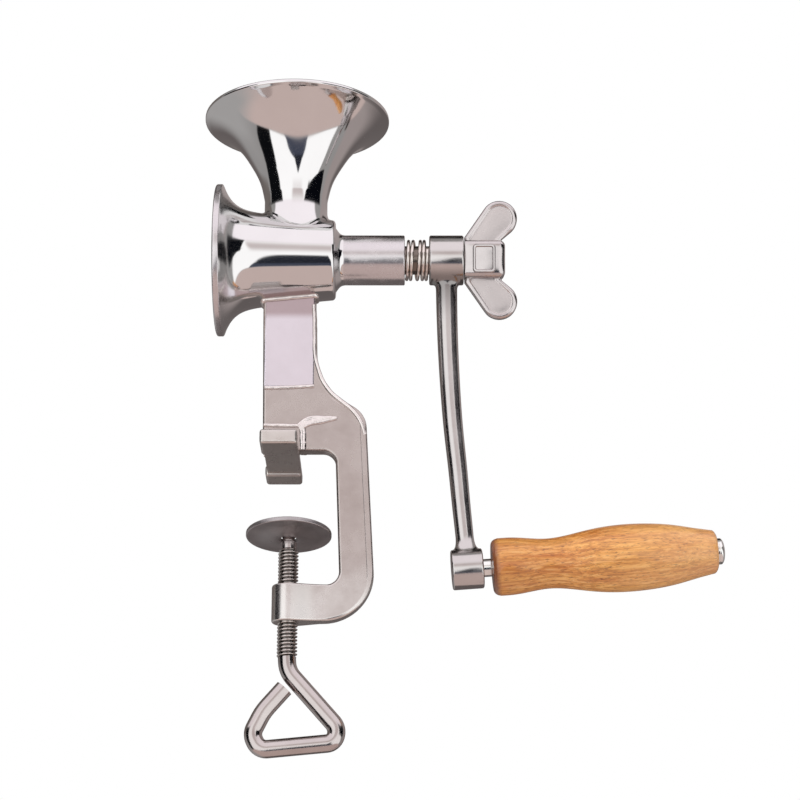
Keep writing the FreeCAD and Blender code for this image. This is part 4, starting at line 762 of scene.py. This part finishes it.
# --- Handle pin, washer and cap ---
# A turned steel pin, riveted in the lower boss. Its shoulder holds the grip off the boss, and a washer and a
# domed, riveted cap keep the grip on.
PIN_RADIUS, SHOULDER_RADIUS, SHOULDER_LENGTH = 2.75, 3.15, 3.1
GRIP_START, GRIP_LENGTH, GRIP_GAP = 8.75, 78.6, 0.15
WASHER, CAP_RADIUS, CAP_HEIGHT = 0.45, 4.6, 2.2
DOME = ((0, 0), (0, 0.985), (0.05, 1.0), (0.36, 1.0), (0.5, 0.965), (0.66, 0.87), (0.8, 0.73), (0.91, 0.5),
        (0.98, 0.25), (1, 0))
grip_end = GRIP_START + GRIP_LENGTH
cap_start = grip_end + GRIP_GAP + WASHER
shoulder_start, shoulder_end = LOWER_BOSS_HALF - 0.1, LOWER_BOSS_HALF + SHOULDER_LENGTH
pin_line = rounded([
    (-LOWER_BOSS_HALF, 0, 0), (-LOWER_BOSS_HALF, PIN_RADIUS, 0.3), (shoulder_start, PIN_RADIUS, 0),
    (shoulder_start, SHOULDER_RADIUS, 0), (shoulder_end, SHOULDER_RADIUS, 0.35),
    (shoulder_end, PIN_RADIUS, 0), (cap_start, PIN_RADIUS, 0), (cap_start, 0, 0)])
washer_line = tube(grip_end + GRIP_GAP, cap_start, PIN_RADIUS, CAP_RADIUS)
cap_line = [(cap_start + CAP_HEIGHT * up, CAP_RADIUS * out) for up, out in DOME]
for name, line, sides, node in (("pin", pin_line, 72, "handle_pin"),
                                ("end_washer", washer_line, 72, "grip_end_washer"),
                                ("end_cap", cap_line, 96, "grip_cap")):
    piece = make_piece(name, [turned(line, sides, LOWER_BOSS, GRIP_AXIS)], [bright_steel])
    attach(piece, "crank")
    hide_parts(node)

# --- Grip ---
# Turned from one piece of beech with the grain along it, stained orange-brown and varnished. Short dark
# pores and soft growth bands run lengthwise, and the end is darker where the grain is cut across.
GRIP_SHAPE = ((0.03, 10.05), (0.09, 10.0), (0.16, 9.4), (0.245, 8.75), (0.33, 9.3), (0.42, 10.55),
              (0.52, 11.55), (0.61, 11.8), (0.71, 11.45), (0.82, 10.3), (0.91, 8.75), (0.985, 7.6))
GRIP_BORE, PORE_DEPTH = 2.8, 0.03
HEAD_EDGE = ((0, 8.35), (0.15, 8.75), (0.6, 9.3), (1.3, 9.75))  # along the axis, radius
TAIL_EDGE = ((0.75, 7.3), (0.3, 6.7), (0.05, 6.1), (0, 5.6))  # back from the end, radius
GRAIN = {  # scale along the grain against across it, size in mm, detail, roughness, distortion
    "bands": (0.12, 5.0, 3.0, 0.55, 0.3), "fibres": (0.07, 0.9, 4.0, 0.75, 0.4),
    "pores": (0.2, 0.45, 2.0, 0.6, 0.0)}
STAIN_AND_PAINTED_LIGHT = (  # tone, guide, where it starts and ends, how much of it there
    ("#fab35a", "bands", 0.32, 0.66, 0.0, 1.0),  # growth bands
    ("#ffcb85", "fibres", 0.49, 0.36, 0.0, 0.5),  # light flecks
    ("#9a5520", "fibres", 0.46, 0.62, 0.0, 0.6),  # darker fibres
    ("#6d3714", "pores", 0.56, 0.70, 0.0, 0.75),  # open pores
    ("#f4bf88", "reach", 35, 75, 0.0, 0.35),  # the tail, paler under a painted highlight
    ("#ad5c1f", "reach", 0, 30, 0.35, 0.0),  # the redder head
    ("#743a1c", "reach", 0.7, 2.6, 0.9, 0.0))  # end grain
grip_line = [(GRIP_START, GRIP_BORE)] + [(GRIP_START + along, radius) for along, radius in HEAD_EDGE]
grip_line += smooth_line([(GRIP_START + share * GRIP_LENGTH, radius) for share, radius in GRIP_SHAPE], 70)
grip_line += [(grip_end - back, radius) for back, radius in TAIL_EDGE] + [(grip_end, GRIP_BORE)]
# Varnished beech: warm and lively under a soft gloss, with fine streaks and open pores that run lengthwise.
beech = bpy.data.materials.new("varnished beech")
beech.use_nodes = True
tree = beech.node_tree
shader = tree.nodes["Principled BSDF"].inputs
shader["Base Color"].default_value = linear("#d07828")
shader["Roughness"].default_value = 0.38
shader["Coat Weight"].default_value = 0.8
shader["Coat Roughness"].default_value = 0.18
along = add_node(tree, "Mapping", {
    "Vector": add_node(tree, "TexCoord", {}, "Object"), "Location": LOWER_BOSS * MM,
    "Rotation": (0, -GRIP_TILT, 0)}, vector_type="TEXTURE")
guides = {"reach": add_node(tree, "SeparateXYZ", {0: along})}
for name, (stretch, size, detail, rough, distortion) in GRAIN.items():
    stretched = add_node(tree, "Mapping", {"Vector": along, "Scale": (stretch, 1.0, 1.0)})
    guides[name] = add_node(tree, "TexNoise", {
        "Vector": stretched, "Scale": 1 / (size * MM), "Detail": detail, "Roughness": rough,
        "Distortion": distortion})
covers = {}
for tone, guide, start, end, low, high in STAIN_AND_PAINTED_LIGHT:
    if guide == "reach":
        start, end = (GRIP_START + start) * MM, (GRIP_START + end) * MM
    covers[guide] = lay_over(beech, tone, guides[guide], start, end, low, high, soft=False)
dents = add_node(tree, "Bump", {"Height": covers["pores"], "Distance": PORE_DEPTH * MM, "Strength": 1.0},
                 invert=True)
tree.links.new(dents, shader["Normal"])
grip = make_piece("wooden_grip", [turned(grip_line, 144, LOWER_BOSS, GRIP_AXIS)], [beech])
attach(grip, "grip")
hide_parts("grip")

# --- Wing nut ---
# Cast stainless: a flat-sided hub and two wings with a thin polished rim about a satin panel. A bare raised
# frame stands on each flat of the hub.
NUT_X, NUT_LENGTH, NUT_HALF_FLATS, NUT_HALF_HEIGHT, NUT_BORE = 65.4, 14.0, 6.6, 6.9, 5.02
NUT_TURN, HUB_SQUARENESS = math.radians(15.0), 7
NUT_RINGS = ((0, 0.35), (0.1, 0.1), (0.35, 0), (12.4, 0), (13.0, 0.12), (13.6, 0.4), (14.15, 0.85),
             (14.5, 1.4), (14.65, 2.0))  # x, inset
WING_FOOT, WING_ROOT, NOTCH_X, NOTCH_OUT = 5.6, 8.3, 13.6, 7.5
LOBE_X, LOBE_OUT, LOBE_RADIUS = 12.7, 15.2, 6.5
WING_RINGS = ((0.0, 1.15), (0.1, 1.6), (0.38, 1.98), (0.8, 2.2), (1.15, 2.29), (1.45, 2.27), (1.65, 2.12),
              (1.85, 1.96), (2.3, 1.92), (3.3, 2.0), (4.3, 2.05), (5.4, 2.08))  # inset, half thickness
PANEL_HALF = 2.11
BADGE_HALF_LENGTH, BADGE_HALF_HEIGHT, BADGE_CORNER, BADGE_RIM, BADGE_RAISE = 4.1, 5.2, 1.3, 1.1, 0.55


def touch(start, centre, radius, side):
    """Angle on a circle where a line from start touches it."""
    towards = math.atan2(start.y - centre.y, start.x - centre.x)
    return towards - side * math.acos(radius / (centre - start).length)


def wing_outline(inset):
    """The wing's outline in (x, distance from the shaft axis), drawn in from its edge."""
    root = Vector((NUT_X + inset * 1.2, WING_ROOT - inset * 0.2))
    notch = Vector((NUT_X + NOTCH_X - inset * 1.2, NOTCH_OUT))
    centre, radius = Vector((NUT_X + LOBE_X, LOBE_OUT)), LOBE_RADIUS - inset
    first, last = touch(root, centre, radius, 1), touch(notch, centre, radius, -1)
    while last > first:
        last -= 2 * math.pi
    arc = [centre + Vector((math.cos(a), math.sin(a))) * radius for a in np.linspace(first, last, 33)]
    return [Vector((root.x, WING_FOOT)), root] + arc + [notch, Vector((notch.x, WING_FOOT))]


def wing_shell(up):
    """One wing, which stands up from the hub or hangs down from it."""
    return capped([[(p.x, side * half, SHAFT_Z + up * p.y) for p in wing_outline(inset)]
                   for side in (-1, 1) for inset, half in WING_RINGS[::side]])


def hub_ring(x, inset):
    """Nearly square outline of the nut's hub, softly rounded at its corners."""
    ring = []
    for k in range(96):
        across, up = math.cos(2 * math.pi * k / 96), math.sin(2 * math.pi * k / 96)
        radius = ((abs(across) / NUT_HALF_FLATS) ** HUB_SQUARENESS
                  + (abs(up) / NUT_HALF_HEIGHT) ** HUB_SQUARENESS) ** (-1 / HUB_SQUARENESS) - inset
        ring.append((NUT_X + x, across * radius, SHAFT_Z + up * radius))
    return ring


def badge_shell(side):
    """The raised frame on one flat of the hub, bare inside."""
    rings = []
    for inset, out in ((-0.1, -0.3), (0.05, 0.25), (0.3, BADGE_RAISE), (BADGE_RIM - 0.3, BADGE_RAISE),
                       (BADGE_RIM - 0.05, 0.25), (BADGE_RIM + 0.1, -0.3)):
        a, b, edge = BADGE_HALF_LENGTH - inset, BADGE_HALF_HEIGHT - inset, BADGE_CORNER - inset * 0.6
        line = rounded([(-a, -b, edge), (a, -b, edge), (a, b, edge), (-a, b, edge)], closed=True, step=18.0)
        rings.append([(NUT_X + NUT_LENGTH / 2 + x, side * (NUT_HALF_FLATS + out), SHAFT_Z + z)
                      for x, z in line])
    return skin(rings + [rings[0]])


# Polished casting: bright, its reflections broken up by what is left of the cast skin.
nut_steel = steel("polished cast steel", "#cfc9c8", "#b5afaf", 0.16, 4.0, 0.045, 0.4, 0.002, 5.0)
# Blasted field of the wings: an even satin, softer and a little darker than their rims.
panel_steel = steel("satin cast steel", "#c9c2c1", "#beb6b5", 0.32, 6.0, 0.015, 0.3, 0.002, 4.0)
hub_rings = [hub_ring(x, inset) for x, inset in NUT_RINGS]
bore_ring = [Vector((0, y, z - SHAFT_Z)).normalized() * NUT_BORE + Vector((0, 0, SHAFT_Z))
             for _, y, z in hub_rings[0]]
hub_rings += [[(x, p.y, p.z) for p in bore_ring] for x in (NUT_X + NUT_LENGTH - 0.4, NUT_X)]
nut_hub = make_piece("nut_hub", [skin(hub_rings + [hub_rings[0]])], [nut_steel])
wings = make_piece("nut_wings", [wing_shell(1), wing_shell(-1)], [nut_steel, panel_steel])
for face in wings.data.polygons:
    face.material_index = int(abs(face.center.y) < PANEL_HALF * MM and abs(face.normal.y) > 0.95)
even_out(wings)
badges = make_piece("nut_badges", [badge_shell(-1), badge_shell(1)], [nut_steel])
at_rest = (Matrix.Translation((0, 0, SHAFT_Z * MM)) @ Matrix.Rotation(NUT_TURN, 4, "X")
           @ Matrix.Translation((0, 0, -SHAFT_Z * MM)))
for piece in (nut_hub, wings, badges):
    piece.data.transform(at_rest)
    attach(piece, "wing_nut")
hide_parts("wing_nut")

# --- Clamp screw ---
# One length of steel rod: a rolled thread through the frame's boss, a turned neck whose tip is riveted over
# the pad, and the plain lower end bent cold into an open triangle to turn it by.
SCREW_RADIUS, SCREW_PITCH, SCREW_DEPTH, ROD_RADIUS = 3.55, 1.25, 0.75, 3.13
THREAD_LOW_Z, COLLAR_RADIUS, COLLAR_TOP_Z, COLLAR_LENGTH, NECK_RADIUS = -70.4, 2.8, -28.344, 2.6, 2.2
HEAD_SEAT_Z, HEAD_RADIUS, HEAD_HEIGHT = -26.183, 3.4, 0.7
HANDLE_PATH = ((3.0, -69.6, 0), (3.3, -74.4, 9.0), (20.8, -94.2, 5.0), (19.4, -99.2, 3.5),
               (-6.0, -101.6, 4.2), (-8.7, -96.2, 5.0), (-4.9, -88.5, 18.0), (2.3, -80.3, 0))
# Bright drawn rod: clear reflections that run along it, a little drawn out where it was bent.
screw_steel = steel("bright drawn steel", "#c8c1bf", "#b4acaa", 0.16, 7.0, 0.012, 0.35, 0.002, 7.0)
# Rolled thread: bright crests, and painted shade that darkens the roots.
thread_steel = steel("rolled thread", "#d6d0cc", "#bdb6b2", 0.12, 7.0, 0.012, 0.35, 0.004, 4.0)
# Painted shade: the thread darkens towards the screw's axis, in its roots.
tree = thread_steel.node_tree
flat = add_node(tree, "VectorMath", {
    0: add_node(tree, "TexCoord", {}, "Object"), 1: (1, 1, 0), 2: (-SCREW_X * MM, 0, 0)},
    operation="MULTIPLY_ADD")
out = add_node(tree, "VectorMath", {0: flat}, "Value", operation="LENGTH")
lay_over(thread_steel, "#2a2522", out, (SCREW_RADIUS - SCREW_DEPTH) * MM, (SCREW_RADIUS - 0.15) * MM,
         0.75, 0.0)
thread_top = COLLAR_TOP_Z - COLLAR_LENGTH
screw = grow("screw_thread", thread, {
    "Crest radius": SCREW_RADIUS, "Depth": SCREW_DEPTH, "Pitch": SCREW_PITCH,
    "Length": thread_top - THREAD_LOW_Z, "Sides": 73, "Rows": 420, "Finish": thread_steel})
screw.data.transform(Matrix.Translation(Vector((SCREW_X, 0, THREAD_LOW_Z)) * MM))
head_top = HEAD_SEAT_Z + HEAD_HEIGHT
tip_line = rounded([
    (thread_top - 0.5, 0, 0), (thread_top - 0.5, COLLAR_RADIUS, 0), (COLLAR_TOP_Z, COLLAR_RADIUS, 0.4),
    (COLLAR_TOP_Z, NECK_RADIUS, 0), (HEAD_SEAT_Z, NECK_RADIUS, 0), (HEAD_SEAT_Z, HEAD_RADIUS, 0.1),
    (head_top, HEAD_RADIUS, 0.5), (head_top, 0, 0)], step=15.0)
screw_tip = make_piece("screw_tip", [turned(tip_line, 72, (SCREW_X, 0, 0), (0, 0, 1))], [screw_steel])
bent = [(x, 0, z) for x, z in rounded(HANDLE_PATH, step=5.0)]
screw_handle = grow("screw_handle", wire, {
    "Wire radius": ROD_RADIUS, "Sides": 48, "Finish": screw_steel}, [bent])
for piece in (screw, screw_tip, screw_handle):
    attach(piece, "screw")
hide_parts("clamp_screw")

# --- Pad ---
# A pressed steel disc, dished in the middle for the screw's riveted tip. It hangs loose on the neck and
# leans a little.
PAD_Z, PAD_TILT = -25.8, math.radians(7.0)
PAD_RADIUS, PAD_HALF, DISH_DEPTH, DISH_OUT, DISH_IN, PAD_HOLE = 15.0, 0.8, 1.7, 8.0, 5.0, 2.7
CENTRE_THICK = 1.2
dish_z = PAD_HALF - DISH_DEPTH
low_z = dish_z - CENTRE_THICK
pad_line = rounded([
    (dish_z, PAD_HOLE, 0), (dish_z, DISH_IN, 1.5), (PAD_HALF, DISH_OUT, 1.5), (PAD_HALF, PAD_RADIUS, 0.4),
    (-PAD_HALF, PAD_RADIUS, 0.4), (-PAD_HALF, PAD_RADIUS - 0.8, 0)], step=10.0)
pad_line += smooth_line([
    (-PAD_HALF, PAD_RADIUS - 1), (-PAD_HALF - 0.2, 11.0), (low_z + 0.45, 7.5), (low_z, 4.4),
    (low_z, PAD_HOLE + 0.8)], 24) + [(low_z + 0.8, PAD_HOLE)]
# Pressed sheet steel: dull and a little brown, with the press's soft unevenness.
pad_steel = steel("pressed dull steel", "#bab5b6", "#9c9798", 0.34, 10.0, 0.03, 0.3, 0.005, 6.0)
pad_axis = Vector((0, math.sin(PAD_TILT), math.cos(PAD_TILT)))
pad = make_piece("pad_plate", [turned(pad_line, 128, (SCREW_X, 0, PAD_Z), pad_axis)], [pad_steel])
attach(pad, "pad")
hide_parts("pad_disc")

# --- Room ---
# A plain pale floor below the camera, soft light from a large lamp, and for the polished metal a studio of
# white walls, soft boxes and dark openings. The camera looks up at the mill from a little below.
FLOOR_Z, FLOOR_REACH = -400.0, 20000.0
CAMERA_PLACE, CAMERA_AIM, CAMERA_LENS = (41.954, -803.691, -252.521), (41.954, 0.0, 24.212), 107.1
LAMP_PLACE, LAMP_AIM = (-350, -950, 950), (40, 0, 20)
LAMP_WIDTH, LAMP_HEIGHT, LAMP_POWER = 0.9, 0.7, 9.0  # metres, watts
FILL_LIGHT, WHITE = (0.72, 0.72, 0.72, 1.0), (1.0, 1.0, 1.0, 1.0)
STUDIO = (  # colour, strength, (height, left, right) at the panel's foot and at its head, softness: degrees
    ("#7b7470", 1.0, (8, -220, -104), (60, -220, -104), (4, 6)),  # darker wall, high on the left
    ("#b0a5a3", 1.0, (-120, 116, 220), (60, 106, 220), (4, 4)),  # browner wall on the right
    ("#6f6867", 1.0, (-66, -220, -140), (20, -220, -140), (12, 6)),  # dark corners behind
    ("#6f6867", 1.0, (-66, 142, 220), (20, 142, 220), (11, 6)),
    ("#dcc7c1", 1.0, (-100, -250, 250), (-36.5, -110, 118), (3, 1.5)),  # pale table
    ("#b8b6b5", 1.0, (-60, -165, -108), (-12, -165, -104), (17, 12)),  # its left end, which fades away
    ("#3c3533", 1.0, (-75, 123, 128), (-28, 108, 111), (0.8, 2)),  # its dark edge on the right
    ("#ffffff", 1.38, (-36, -62, 94), (27, -62, 50), (1.5, 1.2)),  # soft box in front
    ("#f7f1f5", 1.38, (24, -80, 75), (74, -90, 90), (4, 1.5)),  # soft box overhead
    ("#e6dbda", 1.0, (4, -10, 21), (22, -13, 30), (5, 8)),  # dimmer middle of the front
    ("#101114", 1.0, (-36, -88, -62), (-12, -93, -59), (1.5, 1)),  # dark opening, left
    ("#101114", 1.0, (-16, -92, -62), (25, -101, -47), (2, 2)),
    ("#0a0c12", 1.0, (-7, 82, 92), (6, 36, 95), (1.5, 1.5)),  # dark opening, right
    ("#0a0c12", 1.0, (2, 42, 95), (25, 31, 100), (1.5, 2)),
    ("#4b5060", 1.0, (-36.5, -29, 29), (-26, -4, 18), (1.5, 1.2)),  # dark figure in the middle
    ("#2b2e38", 1.0, (-29, -5, 19), (-7, 6, 8), (1.5, 1.5)),
    ("#2c2826", 1.0, (45, -215, -125), (80, -215, -125), (6, 6)),  # dark ceiling behind
    ("#2c2826", 1.0, (45, 125, 215), (80, 125, 215), (6, 6)),
)
world = bpy.data.worlds.new("studio")
bpy.context.scene.world = world
world.use_nodes = True
tree = world.node_tree
tree.nodes.clear()
x, y, z = add_node(tree, "SeparateXYZ", {
    0: add_node(tree, "TexCoord", {}, "Generated")}).node.outputs
towards = add_node(tree, "Math", {0: y, 1: -1.0}, operation="MULTIPLY")
azimuth = add_node(tree, "Math", {0: x, 1: towards}, operation="ARCTAN2")
height = add_node(tree, "Math", {0: z}, operation="ARCSINE")
azimuth, height = (add_node(tree, "Math", {0: angle}, operation="DEGREES")
                   for angle in (azimuth, height))
studio = linear("#a7a5a4")
for colour, strength, low, high, soft in STUDIO:
    inside = 1.0
    limits = [(height, edge - fade, edge + fade) for edge, fade in ((low[0], soft[1]), (high[0], -soft[1]))]
    for side, fade in ((1, soft[0]), (2, -soft[0])):
        limits.append((azimuth, *(add_node(tree, "MapRange", {
            0: height, 1: low[0], 2: high[0], 3: low[side] + out, 4: high[side] + out})
            for out in (-fade, fade))))
    for angle, start, end in limits:
        inside = add_node(tree, "MapRange", {0: angle, 1: start, 2: end, 3: 0.0, 4: inside},
                          interpolation_type="SMOOTHSTEP")
    light = [c * strength for c in linear(colour)[:3]] + [1.0]
    studio = add_node(tree, "Mix", {0: inside, 6: studio, 7: light}, 2, data_type="RGBA")
rays = add_node(tree, "LightPath", {}).node.outputs
room_light = add_node(tree, "Mix", {
    0: rays["Is Glossy Ray"], 6: FILL_LIGHT, 7: studio}, 2, data_type="RGBA")
clear = add_node(tree, "Math", {0: rays["Is Camera Ray"], 1: rays["Is Transmission Ray"]},
                 operation="MAXIMUM")
seen = add_node(tree, "Mix", {0: clear, 6: room_light, 7: WHITE}, 2, data_type="RGBA")
background = add_node(tree, "Background", {"Color": seen, "Strength": 1.0})
add_node(tree, "OutputWorld", {"Surface": background})
world.cycles.sampling_method = "NONE"

# Matt pale floor: it takes the mill's shadow and gives no reflection.
floor_material = bpy.data.materials.new("pale floor")
floor_material.use_nodes = True
shader = floor_material.node_tree.nodes["Principled BSDF"].inputs
shader["Base Color"].default_value = linear("#f2f1ef")
shader["Roughness"].default_value = 0.9
floor_corners = [(x * FLOOR_REACH, y * FLOOR_REACH, FLOOR_Z) for x, y in ((-1, -1), (1, -1), (1, 1), (-1, 1))]
floor = make_piece("floor", [(floor_corners, [(0, 1, 2, 3)])], [floor_material])
floor.visible_glossy = False

lamp_data = bpy.data.lights.new("key", "AREA")
lamp_data.shape, lamp_data.size, lamp_data.size_y = "RECTANGLE", LAMP_WIDTH, LAMP_HEIGHT
lamp_data.energy = LAMP_POWER
camera_data = bpy.data.cameras.new("camera")
camera_data.lens, camera_data.sensor_width = CAMERA_LENS, 36.0
camera_data.clip_start, camera_data.clip_end = 0.01, 50.0
lamp, camera = (bpy.data.objects.new(data.name, data) for data in (lamp_data, camera_data))
for item, place, aim in ((lamp, LAMP_PLACE, LAMP_AIM), (camera, CAMERA_PLACE, CAMERA_AIM)):
    item.location = Vector(place) * MM
    item.rotation_euler = (Vector(aim) * MM - item.location).to_track_quat("-Z", "Y").to_euler()
    bpy.context.scene.collection.objects.link(item)
lamp.visible_glossy = False
bpy.context.scene.camera = camera
bpy.context.scene.view_settings.view_transform = "Standard"
